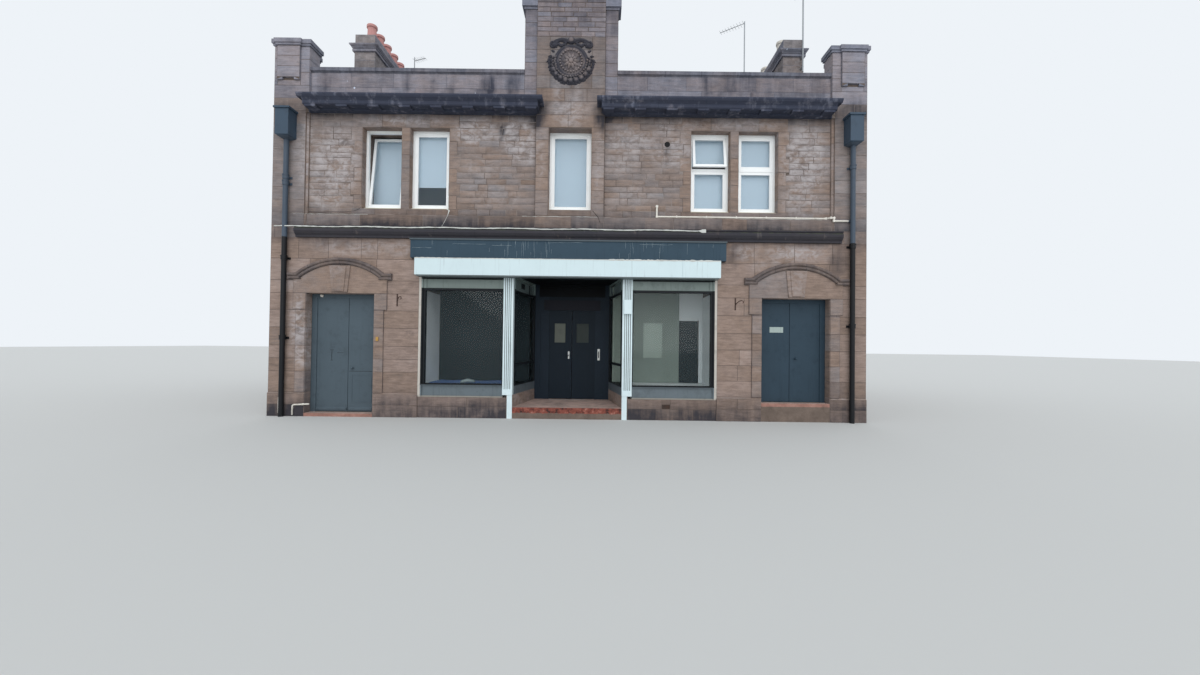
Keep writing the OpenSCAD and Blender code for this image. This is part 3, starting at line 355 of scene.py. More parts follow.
def step_material():
    """Trodden pinkish tops and broken red faces"""
    g = Surface("step_stone")
    worn = g.noise(3.0, 6, 0.7)
    chips = g.noise(11.0, 6, 0.75)
    top = g.ramp(worn, (0.3, srgb(140, 124, 117)), (0.55, srgb(186, 160, 150)), (0.75, srgb(204, 174, 162)))
    red = g.ramp(chips, (0.38, srgb(52, 36, 34)), (0.46, srgb(118, 60, 50)), (0.58, srgb(148, 84, 70)),
                 (0.7, srgb(176, 140, 128)))
    salmon = g.ramp(worn, (0.3, srgb(118, 96, 88)), (0.5, srgb(158, 116, 104)), (0.7, srgb(180, 140, 128)))
    plain = g.ramp(worn, (0.3, srgb(92, 80, 72)), (0.7, srgb(128, 112, 102)))
    # The lobby's riser is red below a ragged edge; the right side step stands on a plain block
    lobby = g.band("X", 0.0, 1.5, True)
    under = (g.band("X", 3.0, 7.0) * (g.along("Z") < 0.32)).at_least(
        lobby * (chips * 0.09 + g.along("Z") < 0.165))
    face = g.mix(under, g.mix(lobby, salmon, red), plain)
    g.set(Base_Color=g.mix(g.remap(g.upward(), 0.4, 0.9), face, top), Roughness=0.9)
    g.bump((chips, 0.02), (g.noise(70, 4, 0.7), 0.002))
    return g.owner


def slate_material():
    g = Surface("slate")
    shade, hue = g.tone()[:2]
    colour = g.ramp(hue, (0.0, srgb(70, 76, 84)), (0.5, srgb(82, 86, 94)), (1.0, srgb(92, 92, 102)))
    riven = g.noise(1.0, 5, 0.65, (14, 14, 14), (2, 2, 2), 1.2)
    colour = g.scaled(colour, (shade + riven) * 0.4 + 0.55)
    growth = g.remap(g.noise(9, 6, 0.75), 0.58, 0.7) * 0.6
    g.set(Base_Color=g.mix(growth, colour, srgb(128, 130, 112)), Roughness=0.62)
    g.bump((riven, 0.003), (g.noise(120, 3, 0.6), 0.0006))
    return g.owner


ASHLAR_SKIN = stone_skin("ashlar_skin", 0.6)
# The blue-leaning tints of the crown stones, dressed crown, cornice, copes, carving and stacks paint the
# bluish cast of skylight and haze on the upper front; on the cornice they also paint the bluish tone of its
# shade
CROWN_SKIN = stone_skin("crown_skin", 0.6, (1.16, 1.26, 1.46))
RUBBLE_SKIN = stone_skin("rubble_skin", 1.3)
ASHLAR_BED = mortar("ashlar_bed", srgb(104, 92, 86))
RUBBLE_BED = mortar("rubble_bed", srgb(158, 147, 142))
DRESSED = cut_stone("dressed_stone", 0.12, 0.35)
CROWN_DRESSED = cut_stone("crown_dressed_stone", 0.3, 0.35, None, 0.25, 0.06, tint=(1.1, 1.2, 1.4))
STRING = cut_stone("string_stone", 1.3, 0.3, ("X", 0.86, 0.31), 0.5, 0.3, sooty_half=5.82)
CORNICE = cut_stone("cornice_stone", 1.0, 0.9, ("X", 0.99, 0.13), 0.5, 0.2, tint=(1.0, 1.17, 1.48))
COPE = cut_stone("cope_stone", 0.55, 0.3, ("X", 0.78, 0.4), 0.8, 0.1, tint=(1.08, 1.16, 1.32))
HOOD = cut_stone("hood_stone", 0.5, 0.2, ("X", 0.66, 0.35), 0.0, 0.35)
CARVED = cut_stone("carved_stone", 1.15, 0.3, None, 0.2, 0.3, tint=(1.06, 1.1, 1.18), disc=(7.65, 0.3))
STACK = cut_stone("stack_stone", 0.36, 0.5, ("Z", 0.285, 0.2), 0.5, 0.05, tint=(1.02, 1.1, 1.26))
PLASTER = coating("plaster", (205, 200, 190), 0.9, share=0.2)
SLATE = slate_material()
SLATE_BED = coating("slate_bed", (52, 54, 58), 0.8)
LEAD = coating("lead", (112, 117, 124), 0.55, (70, 72, 74), 0.6, 0.4, metallic=0.3)
CLAY = coating("clay_pots", (194, 142, 138), 0.85, (104, 88, 88), 0.6, 0.5, grain=(80, 0.001),
               parts=[((212, 206, 198), [("X", 0.0, 9.0)])])
FLOORING = coating("floor_screed", (120, 114, 106), 0.85)
BOARDING = boards("floor_boards", (150, 122, 94), 0.14)
WHITE_FRAME = coating("window_plastic", (252, 254, 254), 0.35, (170, 162, 146), 0.18, clouds=0.03,
                      parts=[((226, 222, 200), [("Z", 4.4, 4.512)])])
# The upper panes' pale blue colour is partly the glass's tint and partly a painted reflection of the sky
UPPER_PANE = glazing("upper_panes", (110, 134, 150), 0.12)
SHOP_PANE = glazing("shop_panes", (62, 78, 82), 0.12)
# The grey in the posts' flutes is painted shade in the grooves
FLUTES = [[("Y", FACE_Y - 0.003, FACE_Y + 0.004), ("X", x - 0.009, x + 0.009, True)]
          for x in (1.215, 1.255, 1.295, 1.335)]
POST_PAINT = coating("post_paint", (218, 234, 238), 0.5, (110, 116, 116), 0.5, 0.85,
                     parts=[((96, 108, 112), bands) for bands in FLUTES])
FRONT_SIDE = ("X", 1.372, 4.0, True)
FRAME_PAINT = coating("shop_frame_paint", (24, 28, 32), 0.5, (50, 50, 50), 0.5, spec=0.2, parts=[
    ((136, 148, 144), [FRONT_SIDE, ("Z", 2.764, 3.2)]),
    ((34, 38, 40), [FRONT_SIDE, ("Z", 2.955, 3.2)]),
    ((104, 114, 120), [FRONT_SIDE, ("Z", 0.3, 0.7)]),
    ((150, 146, 138), [FRONT_SIDE, ("Z", 0.3, 0.466)]),
    ((196, 190, 182), [("X", 3.13, 4.0, True), ("Y", -9.0, FACE_Y + 0.029)]),
    ((92, 100, 106), [("X", 0.0, 1.3, True), ("Z", 0.4, 0.68)]),
    ((120, 136, 134), [("X", -1.3, 1.3), ("Z", 2.78, 3.2)])])
NAVY = coating("navy_paint", (22, 33, 43), 0.45, (44, 50, 56), 0.3, spec=0.12, parts=[
    ((30, 41, 52), [("X", 0.57, 0.95, True)]),
    ((27, 28, 37), [("Z", 2.42, 2.67), ("X", 0.0, 0.69, True)]),
    ((6, 8, 12), [("Z", 2.75, 3.1), ("X", 0.0, 0.81, True)]),
    ((104, 108, 100), [("Z", 1.63, 2.1), ("X", -0.43, -0.165), ("Y", FACE_Y + 1.53, 9.0)]),
    ((58, 64, 62), [("Z", 1.63, 2.1), ("X", 0.11, 0.41), ("Y", FACE_Y + 1.53, 9.0)])])
SOFFIT = coating("soffit_paint", (16, 20, 24), 0.6, (40, 42, 42), spec=0.12)
GREY_FASCIA = coating("grey_fascia_paint", (56, 75, 89), 0.5, (38, 48, 58), 0.5, 0.6, spec=0.15,
                      parts=[((84, 94, 100), [("Z", 3.768, 3.9)])])
# The grey band at the fascia's lowest part is painted shade on its underside
WHITE_FASCIA = coating("white_fascia_paint", (209, 227, 231), 0.35, (128, 134, 132), 0.34, 0.85,
                       clouds=0.04, parts=[((92, 102, 104), [("Z", 2.9, 3.0095)])])
WHITE_BOARD = coating("display_board", (236, 243, 244), 0.6, share=0.12)
# Dark boards stand in for the dim shop behind the glass: painted shade
SHADE_BOARD = coating("dark_board", (24, 34, 38), 0.5, (30, 38, 42), spec=0.15)
GREEN_BOARD = coating("green_board", (132, 146, 136), 0.6, (104, 112, 104), 0.4)
BLUE_COVER = coating("blue_cover", (84, 116, 172), 0.8, (130, 150, 176), 0.6, 0.0)
LEFT_DOOR = coating("left_door_paint", (80, 93, 102), 0.5, (62, 70, 76), 0.6, 0.4,
                    ((122, 130, 134), 0.8), spec=0.2)
PLATE_BANDS = [("Z", 1.899, 2.021), ("X", 4.379, 4.676), ("Y", -9.0, FACE_Y + 0.2125)]
RIGHT_DOOR = coating("right_door_paint", (51, 68, 81), 0.45, (38, 50, 60), 0.6, 0.4,
                     ((106, 112, 112), 0.82), spec=0.15, parts=[((168, 182, 178), PLATE_BANDS)])
# The pipes are near-black; their lighter blue-grey upper part, from z 3.8 to 6.6, is a painted sheen of the
# sky
PIPE = coating("pipe_paint", (20, 22, 26), 0.4, (46, 42, 40), 0.45, 0.5, ((84, 60, 50), 0.8), spec=0.25,
               parts=[((62, 79, 96), [("Z", 5.9, 6.6)]), ((72, 84, 98), [("Z", 3.8, 5.9)])])
STEP = step_material()
WASTE = coating("waste_plastic", (226, 221, 212), 0.4, (130, 120, 104), 0.5, 0.3)
AERIAL = coating("aerial_metal", (150, 154, 158), 0.45, metallic=0.6)
BRASS = coating("brass", (190, 150, 84), 0.4, (90, 70, 40), 0.5, 0.2, metallic=0.7)
RUSTY = coating("rusty_iron", (64, 46, 40), 0.8, (100, 62, 44), 0.7, 0.2, grain=(120, 0.001))
STEEL = coating("brushed_steel", (176, 178, 176), 0.35, metallic=0.8)
CHALK = coating("chalky_white", (206, 208, 204), 0.9, (140, 134, 126), 0.5, 0.0, grain=(90, 0.001))
DRIP = coating("pale_drips", (150, 164, 170), 0.7, (90, 104, 114), 0.9, 0.0)
# dark_gap stands for the shade inside holes, vents and gaps, and also colours cracks, lines and marks
DEEP = coating("dark_gap", (22, 21, 23), 0.9, share=0.1)
PANEL = coating("pale_panel", (140, 156, 156), 0.6)
BLIND = cloth("blind_cloth", (210, 230, 244))


def piece(name, co, faces, material, body="building", smooth=False):
    """A new mesh piece from points whose y counts from the street face"""
    mesh = bpy.data.meshes.new(name)
    mesh.from_pydata((np.array(co, float) + (0, FACE_Y, 0)).tolist(), [], faces)
    mesh.materials.append(material)
    if smooth:
        mesh.polygons.foreach_set("use_smooth", [True] * len(mesh.polygons))
    made = bpy.data.objects.new(name, mesh)
    scene.collection.objects.link(made)
    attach(made, body)
    return made


def carry_tone(made, tone):
    """Writes shade, hue, soot and bleach into a mesh, a row for each point"""
    layer = made.data.color_attributes.new("tone", "FLOAT_COLOR", "POINT")
    layer.data.foreach_set("color", np.array(tone, np.float32).ravel())


# Weather on the street front: middle x and z, half sizes and strength of listed patches

BLEACHED = [(-5.66, 5.6, 0.2, 0.9, 0.6), (-5.05, 5.45, 0.6, 0.85, 0.9), (-5.2, 4.8, 0.5, 0.5, 0.7),
            (-1.15, 6.05, 0.5, 0.42, 1.0), (-2.05, 6.15, 0.5, 0.35, 1.0), (-1.0, 5.62, 0.35, 0.2, 0.8),
            (-3.6, 6.4, 1.1, 0.13, 0.85), (-1.9, 5.35, 0.6, 0.35, 0.35), (-1.6, 4.75, 0.7, 0.25, 0.3),
            (1.3, 5.95, 0.6, 0.35, 0.75), (2.2, 5.75, 0.5, 0.4, 0.7), (1.1, 5.5, 0.4, 0.22, 0.6),
            (1.4, 4.8, 0.5, 0.3, 0.35), (2.2, 6.3, 0.5, 0.2, 0.6), (5.05, 5.6, 0.55, 0.9, 0.95),
            (5.0, 4.75, 0.5, 0.45, 0.6), (3.5, 6.38, 1.2, 0.14, 0.7), (0.0, 6.6, 0.4, 0.4, 0.65),
            (-0.25, 6.9, 0.12, 0.5, 0.7), (0.15, 6.85, 0.1, 0.45, 0.6), (0.62, 5.4, 0.14, 0.9, 0.5),
            (-0.62, 5.6, 0.14, 0.7, 0.45), (-5.72, 1.9, 0.2, 0.8, 0.8), (-5.66, 1.25, 0.16, 0.25, 0.9),
            (-5.9, 2.9, 0.35, 0.25, 0.4), (-4.6, 3.62, 1.0, 0.16, 0.55), (-3.6, 3.6, 0.3, 0.2, 0.45),
            (3.75, 3.62, 0.3, 0.2, 0.6), (4.9, 3.6, 0.8, 0.17, 0.75), (4.3, 3.3, 0.5, 0.2, 0.35),
            (-4.6, 0.62, 0.2, 0.1, 0.3)]
SOOTY = [(-1.48, 6.12, 0.07, 0.24, 0.8), (-0.72, 6.55, 0.2, 0.45, 0.9), (0.72, 6.55, 0.2, 0.45, 0.9),
         (-3.56, 7.2, 0.12, 0.3, 0.7), (-3.0, 7.15, 0.1, 0.25, 0.6), (-2.6, 7.1, 0.12, 0.3, 0.6),
         (-1.82, 7.15, 0.2, 0.35, 0.95), (-1.23, 7.2, 0.15, 0.3, 0.7), (-5.3, 7.2, 0.2, 0.4, 0.5),
         (2.95, 7.2, 0.15, 0.35, 0.7), (3.4, 7.2, 0.25, 0.35, 0.6), (3.85, 7.15, 0.2, 0.35, 0.6),
         (4.6, 7.1, 0.7, 0.35, 0.45), (5.3, 7.15, 0.3, 0.35, 0.65), (2.09, 5.72, 0.05, 0.25, 0.5),
         (-6.1, 7.0, 0.4, 0.4, 0.25), (6.1, 6.75, 0.35, 0.25, 0.6), (-5.95, 6.65, 0.4, 0.2, 0.5),
         (-2.6, 4.2, 0.06, 0.25, 0.5), (3.55, 3.55, 0.12, 0.25, 0.6), (5.75, 3.4, 0.25, 0.4, 0.45),
         (-3.7, 0.3, 0.5, 0.25, 0.35), (-5.6, 0.7, 0.15, 0.3, 0.35), (5.68, 0.65, 0.3, 0.3, 0.35),
         # The two long patches at z 3.75 under the string course add to its painted shade
         (-4.9, 3.75, 1.4, 0.12, 0.5), (4.9, 3.76, 1.4, 0.1, 0.45), (-4.3, 6.3, 0.06, 0.2, 0.5)]


def smoothstep(low, high, value):
    t = np.clip((value - low) / (high - low), 0, 1)
    return t * t * (3 - 2 * t)


def patches(x, z, table):
    """Strength of a table's patches at each point, each fading out to its rim"""
    total = np.zeros(len(x))
    for mid_x, mid_z, half_x, half_z, strength in table:
        away = np.sqrt(((x - mid_x) / half_x) ** 2 + ((z - mid_z) / half_z) ** 2)
        total = np.maximum(total, strength * (1 - smoothstep(0.45, 1.25, away)))
    return total


def front_weather(co):
    """Soot and bleach at points of the street front: on the parapet and the centre block, over the string
    course, towards the ground, and under the cornice and the string course, where it is soot with painted
    shade of their overhangs"""
    x, z = co[:, 0], co[:, 2]
    # The band under the cornice is soot with painted shade of the cornice's overhang
    soot_and_shade = 0.06 + 0.5 * smoothstep(6.3, 6.52, z) * (z < 6.74) * (np.abs(x) > 0.75)
    soot_and_shade += 0.2 * smoothstep(6.7, 6.85, z) * (np.abs(x) < 5.6)
    soot_and_shade += 0.1 * smoothstep(1.5, 4.0, x) * (z > 6.7) * (z < 7.6)
    soot_and_shade += 0.3 * smoothstep(7.8, 9.3, z) * (np.abs(x) < 1.1)
    # The band under the string course is soot with painted shade under its ledge
    soot_and_shade += 0.3 * smoothstep(3.62, 3.82, z) * (z < 3.9)
    soot_and_shade += (0.22 + 0.4 * smoothstep(4.32, 4.06, z)) * (z > 3.9) * (z < 4.46)
    soot_and_shade += 0.12 + 0.62 * smoothstep(0.66, 0.0, z) - 0.12 * (z > 0.62)
    return np.maximum(soot_and_shade, patches(x, z, SOOTY)), patches(x, z, BLEACHED)


def plain_weather(soot_and_shade, bleach):
    """The same soot and bleach everywhere, with more soot towards the top of a wall"""
    return lambda co: (soot_and_shade + 0.25 * smoothstep(5.0, 9.0, co[:, 2]), np.full(len(co), bleach))


# Stones laid on the frame's walls as real blocks, a few millimetres proud of the bed

class Plane:
    """A flat side of the building: u runs along it, z up and out away from it"""

    def __init__(self, axis, at, sign):
        self.axis, self.at, self.sign = axis, at, sign
        self.flip = (axis == "x") == (sign > 0)

    def point(self, u, z, out):
        there = self.at + self.sign * out
        return (u, there, z) if self.axis == "x" else (there, u, z)


Style = namedtuple("Style", "joint depth bevel relief jitter cell spread hue")
ASHLAR = Style(0.006, 0.004, 0.004, 0.0005, 0.0, 0.14, 0.09, (0.2, 0.5))
PIER = ASHLAR._replace(spread=0.08, hue=(0.1, 0.3))
PARAPET = ASHLAR._replace(relief=0.0006, spread=0.08, hue=(0.1, 0.28))
GROUND = ASHLAR._replace(spread=0.1, hue=(0.4, 0.72))
MARGIN = Style(0.006, 0.007, 0.005, 0.0008, 0.001, 0.14, 0.11, (0.2, 0.5))
RUBBLE = Style(0.008, 0.008, 0.008, 0.003, 0.004, 0.1, 0.09, (0.16, 0.4))
ROUGH = Style(0.014, 0.01, 0.012, 0.004, 0.008, 0.16, 0.25, (0.05, 1.0))
SUNK = -0.001


class Skin:
    """Gathers the stones of one piece"""

    def __init__(self, seed, weather=front_weather):
        self.rng = random.Random(seed)
        self.weather = weather
        self.co, self.faces, self.stone = [], [], []

    def _vertices(self, points, plane):
        first = len(self.co)
        self.co += [plane.point(u, max(z, 0.0), out) for u, z, out in points]
        return first

    def _tone(self, style, count):
        shade = min(1.0, max(0.0, self.rng.gauss(0.5, style.spread)))
        hue = self.rng.uniform(*style.hue)
        self.stone += [(shade, hue, self.rng.uniform(0.7, 1.3))] * count

    def _face(self, plane, corners):
        self.faces.append(tuple(reversed(corners)) if plane.flip else tuple(corners))

    def block(self, plane, u0, u1, z0, z1, style):
        """A rectangular stone with a bevelled edge and a face in low relief"""
        gap = style.joint / 2
        u0, u1, z0, z1 = u0 + gap, u1 - gap, z0 + gap, z1 - gap
        if u1 - u0 < 0.035 or z1 - z0 < 0.03:
            return
        rng = self.rng
        shake = [[rng.uniform(-1, 1) * style.jitter for _ in range(2)] for _ in range(4)]
        lift = style.depth * rng.uniform(0.7, 1.1)
        nu = max(1, round((u1 - u0) / style.cell))
        nz = max(1, round((z1 - z0) / style.cell))

        def place(s, t, out):
            weights = ((1 - s) * (1 - t), s * (1 - t), s * t, (1 - s) * t)
            du = sum(w * k[0] for w, k in zip(weights, shake))
            dz = sum(w * k[1] for w, k in zip(weights, shake))
            return (u0 + s * (u1 - u0) + du, z0 + t * (z1 - z0) + dz, out)

        bu = style.bevel / (u1 - u0)
        bz = style.bevel / (z1 - z0)
        inner = []
        for j in range(nz + 1):
            for i in range(nu + 1):
                rise = lift + rng.uniform(-1, 1) * style.relief
                inner.append(place(bu + (1 - 2 * bu) * i / nu, bz + (1 - 2 * bz) * j / nz, rise))
        rim = ([(i, 0) for i in range(nu)] + [(nu, j) for j in range(nz)]
               + [(i, nz) for i in range(nu, 0, -1)] + [(0, j) for j in range(nz, 0, -1)])
        first = self._vertices(inner, plane)
        ring = self._vertices([place(i / nu, j / nz, SUNK) for i, j in rim], plane)
        self._tone(style, len(inner) + len(rim))
        for j in range(nz):
            for i in range(nu):
                a = first + j * (nu + 1) + i
                self._face(plane, (a, a + 1, a + nu + 2, a + nu + 1))
        edge = [first + j * (nu + 1) + i for i, j in rim]
        for k in range(len(rim)):
            n = (k + 1) % len(rim)
            self._face(plane, (ring + k, ring + n, edge[n], edge[k]))

    def shape(self, plane, outline, style):
        """A stone with any convex outline, counter-clockwise in u and z"""
        outer = shrunk(outline, style.joint / 2)
        inner = shrunk(outer, style.bevel)
        if len(outer) < 3 or area(inner) < 0.0015:
            return
        lift = style.depth * self.rng.uniform(0.8, 1.1)
        n = len(outer)
        ring = self._vertices([(u, z, SUNK) for u, z in outer], plane)
        top = self._vertices([(u, z, lift) for u, z in inner], plane)
        self._tone(style, 2 * n)
        for k in range(n):
            m = (k + 1) % n
            self._face(plane, (ring + k, ring + m, top + m, top + k))
        self._face(plane, [top + k for k in range(n)])

    def course(self, plane, u0, u1, z0, z1, style, lengths, holes=(), clip=()):
        for a, b in free_spans(u0, u1, z0, z1, holes):
            count = max(1, round((b - a) / self.rng.uniform(*lengths)))
            cuts = [a + (b - a) * (k + self.rng.uniform(-0.24, 0.24)) / count for k in range(1, count)]
            for s, t in pairs([a] + cuts + [b]):
                outline = [(s, z0), (t, z0), (t, z1), (s, z1)]
                cut = clipped(outline, clip)
                if cut == outline:
                    self.block(plane, s, t, z0, z1, style)
                elif len(cut) > 2:
                    self.shape(plane, cut, style)

    def courses(self, plane, u0, u1, rows, style, lengths, holes=(), clip=()):
        for z0, z1 in pairs(rows):
            self.course(plane, u0, u1, z0, z1, style, lengths, holes, clip)

    def piece(self, name, material, slot, smooth=False):
        made = piece(name, self.co, self.faces, material, smooth=smooth)
        shade, hue, dirt = np.array(self.stone).T
        soot_and_shade, bleach = self.weather(np.array(self.co))
        carry_tone(made, np.column_stack([shade, hue, np.clip(soot_and_shade * dirt, 0, 1.6), bleach]))


def pairs(rows):
    """Each item with the one after it"""
    return list(zip(rows, rows[1:]))


def around(outline):
    """Each corner with the one after it, back to the first"""
    return zip(outline, outline[1:] + outline[:1])


def span(side, a, b):
    """A stretch of x on the right of the front, or its mirror image on the left"""
    return (a, b) if side > 0 else (-b, -a)


def area(outline):
    return sum(p[0] * q[1] - q[0] * p[1] for p, q in around(outline)) / 2


def clipped(outline, lines):
    """The part of an outline on the inner side of each line (point, direction turning left to inside)"""
    for (pu, pz), (du, dz) in lines:
        kept = []
        for a, b in around(outline):
            side_a = du * (a[1] - pz) - dz * (a[0] - pu)
            side_b = du * (b[1] - pz) - dz * (b[0] - pu)
            if side_a >= 0:
                kept.append(a)
            if (side_a > 0 > side_b) or (side_b > 0 > side_a):
                t = side_a / (side_a - side_b)
                kept.append((a[0] + t * (b[0] - a[0]), a[1] + t * (b[1] - a[1])))
        outline = kept
        if len(outline) < 3:
            return []
    return outline


def shrunk(outline, by):
    """A convex outline with every side moved inwards"""
    lines = []
    for a, b in around(outline):
        length = math.hypot(b[0] - a[0], b[1] - a[1])
        if length < 1e-5:
            continue
        du, dz = (b[0] - a[0]) / length, (b[1] - a[1]) / length
        lines.append(((a[0] - dz * by, a[1] + du * by), (du, dz)))
    made = []
    for (p, d), (q, f) in around(lines):
        cross = d[0] * f[1] - d[1] * f[0]
        if abs(cross) < 1e-6:
            made.append(q)
            continue
        t = ((q[0] - p[0]) * f[1] - (q[1] - p[1]) * f[0]) / cross
        made.append((p[0] + t * d[0], p[1] + t * d[1]))
    return made


def free_spans(u0, u1, z0, z1, holes):
    spans = [(u0, u1)]
    for h0, h1, low, high in holes:
        if min(z1, high) - max(z0, low) < 0.02:
            continue
        spans = [part for a, b in spans for part in ((a, min(b, h0)), (max(a, h1), b))
                 if part[1] - part[0] > 0.03]
    return spans


def levels(z0, z1, height, rng=None, wander=0.0):
    """Course heights from z0 to z1, near the height asked for"""
    count = max(1, round((z1 - z0) / height))
    inner = [z0 + (z1 - z0) * (k + (rng.uniform(-wander, wander) if rng else 0)) / count
             for k in range(1, count)]
    return [z0] + inner + [z1]


# Ground storey of the street front: courses, plinth, the doors' surrounds and reveals, stall risers

STREET = Plane("x", 0.0, -1)
PLINTH = Plane("x", -0.025, -1)
LEFT_LEVELS = [0.51, 0.955, 1.23, 1.505, 1.89, 2.26, 2.62, 2.9, 3.36, 3.81]
RIGHT_LEVELS = [0.51, 0.85, 1.18, 1.51, 1.865, 2.24, 2.62, 2.9, 3.36, 3.81]
PLINTH_ROWS = [0.0, 0.255, 0.478]
RISER_ROWS = [0.0, 0.235, 0.438]
LOBBY_HALF, SHOP_HALF, FASCIA_HALF = 1.29, 3.18, 3.34
SHOP_TOP = 3.4
DOOR_IN, DOOR_OUT, DOOR_MID = 4.125, 5.58, 4.8525
DOOR_HEAD, IMPOST = 2.62, 2.276
JAMB_W, IMPOST_W = 0.2055, 0.2705
HALL_FLOORS = {-1: 0.07, 1: 0.39}
HOOD_R, HOOD_Z, HOOD_T, HOOD_END = 1.5038, 1.8762, 0.15, (0.998, 2.93)
KEY_HALF = 0.16
RISER_VENT = (2.02, 2.2, 0.24, 0.33)

ground = Skin(11)
for side, rows in ((-1, LEFT_LEVELS), (1, RIGHT_LEVELS)):
    door = span(side, DOOR_IN, DOOR_OUT) + (0, DOOR_HEAD)
    for z0, z1 in pairs(rows):
        inner = SHOP_HALF if z1 <= SHOP_TOP else FASCIA_HALF
        ground.course(STREET, *span(side, inner, HALF_W), z0, z1, GROUND, (0.55, 0.95), (door,))
    for a, b in ((SHOP_HALF, DOOR_IN), (DOOR_OUT, HALF_W)):
        ground.courses(PLINTH, *span(side, a, b), PLINTH_ROWS, GROUND, (0.6, 0.9))
    jambs = [z for z in rows if z < 2.5]
    surround = [(z0, z1, JAMB_W) for z0, z1 in zip(jambs, jambs[1:] + [IMPOST]) if z1 - z0 > 0.05]
    for z0, z1, wide in surround + [(IMPOST, DOOR_HEAD, IMPOST_W)]:
        ground.block(PLINTH, *span(side, DOOR_IN - wide, DOOR_IN), z0, z1, MARGIN)
        ground.block(PLINTH, *span(side, DOOR_OUT, DOOR_OUT + wide), z0, z1, MARGIN)
    for half in (-1, 1):
        arc = []
        for k in range(7):
            off = 0.2 + 0.66 * k / 6
            arc.append((off, HOOD_Z + math.sqrt((HOOD_R - HOOD_T + 0.01) ** 2 - off ** 2)))
        outline = [(KEY_HALF, DOOR_HEAD), (HOOD_END[0], DOOR_HEAD), HOOD_END] + arc[::-1]
        placed = [(side * DOOR_MID + half * u, z) for u, z in outline]
        ground.shape(PLINTH, placed if half > 0 else placed[::-1], MARGIN)
    for x, facing in ((DOOR_IN, 1), (DOOR_OUT, -1)):
        reveal = Plane("y", side * x, side * facing)
        for z0, z1 in zip([HALL_FLOORS[side]] + jambs, jambs + [DOOR_HEAD]):
            ground.block(reveal, -0.02, 0.19, z0, z1, MARGIN)
    ground.courses(STREET, *span(side, LOBBY_HALF, SHOP_HALF), RISER_ROWS, GROUND, (0.6, 1.1),
                   (RISER_VENT,) if side > 0 else ())
ground.block(STREET, *RISER_VENT[:2], RISER_VENT[3] + 0.002, RISER_ROWS[-1], ASHLAR)
ground.piece("ground_stones", ASHLAR_SKIN, "ashlar_stone")

# Upper storey: ashlar piers and middle panel, sill band, window margins and coursed rubble fields

FIELD = Plane("x", 0.06, -1)
HALF_STEP = Plane("x", 0.03, -1)
ASHLAR_H = 0.284
BAND_Z, BAND_TOP, SILL, HEAD, CORNICE_Z, CROWN_Z = 4.07, 4.32, 4.465, 6.22, 6.51, 6.8
FIELD_Z = (BAND_TOP + 0.002, CORNICE_Z - 0.002)
WINDOW_1, MULLION_0, MULLION_1, WINDOW_4 = 2.605, 3.455, 3.63, 4.48
LINTEL_JOINTS = (2.4, 3.03, 3.545, 4.06, 4.69)
MID_WINDOW, MID_PANEL, PIER_IN, PIER_STEP, FIELD_END = 0.462, 0.735, 5.61, 5.67, 5.608
REVEAL = 0.228
CREST_FOOT, CREST_TOP, CREST_HALF = 7.08, 8.2, 0.45
STOREY_ROWS = levels(BAND_Z, CROWN_Z, ASHLAR_H)
MARGIN_ROWS = pairs(levels(SILL, HEAD, 0.29))
REACHES = (0.17, 0.24)

upper = Skin(23)
rubble = Skin(31)
for side in (-1, 1):
    upper.courses(STREET, *span(side, PIER_STEP, HALF_W), STOREY_ROWS, PIER, (0.4, 0.75))
    upper.courses(STREET, *span(side, PIER_IN, PIER_STEP), [BAND_Z, BAND_TOP], ASHLAR, (0.4, 0.75))
    upper.course(STREET, *span(side, MID_PANEL, PIER_IN), BAND_Z + 0.005, BAND_TOP - 0.005, ASHLAR,
                 (0.75, 1.25))
    upper.courses(HALF_STEP, *span(side, PIER_IN, PIER_STEP), levels(BAND_TOP, CORNICE_Z, ASHLAR_H),
                  ASHLAR, (0.5, 0.7))
    for row, (z0, z1) in enumerate(MARGIN_ROWS):
        reach = REACHES[row % 2]
        for a, b in ((WINDOW_1 - reach, WINDOW_1), (MULLION_0, MULLION_1), (WINDOW_4, WINDOW_4 + reach)):
            upper.block(FIELD, *span(side, a, b), z0, z1, MARGIN)
        for x, facing in ((WINDOW_1, 1), (MULLION_0, -1), (MULLION_1, 1), (WINDOW_4, -1)):
            upper.block(Plane("y", side * x, side * facing), 0.065, REVEAL, z0, z1, MARGIN)
    for a, b in pairs(LINTEL_JOINTS):
        upper.block(FIELD, *span(side, a, b), HEAD, FIELD_Z[1], MARGIN)
    sill_x = span(side, LINTEL_JOINTS[0], LINTEL_JOINTS[-1])
    upper.course(FIELD, *sill_x, FIELD_Z[0], SILL, MARGIN, (0.45, 0.8))
    rows = [FIELD_Z[0], SILL] + levels(SILL, HEAD, 0.136, rubble.rng, 0.12)[1:] + [6.365, FIELD_Z[1]]
    for z0, z1 in pairs(rows):
        reach = sum(REACHES) / 2
        for row, (low, high) in enumerate(MARGIN_ROWS):
            if low <= (z0 + z1) / 2 < high:
                reach = REACHES[row % 2]
        hole = span(side, WINDOW_1 - reach, WINDOW_4 + reach) + (4.3, 6.6)
        rubble.course(FIELD, *span(side, 0.737, FIELD_END), z0, z1, RUBBLE, (0.26, 0.52), (hole,))
panel_levels = levels(BAND_Z, CORNICE_Z, ASHLAR_H)
middle_window = (-MID_WINDOW, MID_WINDOW, SILL, HEAD)
upper.courses(STREET, -MID_PANEL, MID_PANEL, panel_levels, ASHLAR, (0.5, 0.8), (middle_window,))
for z0, z1 in MARGIN_ROWS:
    for x, facing in ((-MID_WINDOW, 1), (MID_WINDOW, -1)):
        upper.block(Plane("y", x, facing), 0.002, REVEAL, z0, z1, MARGIN)
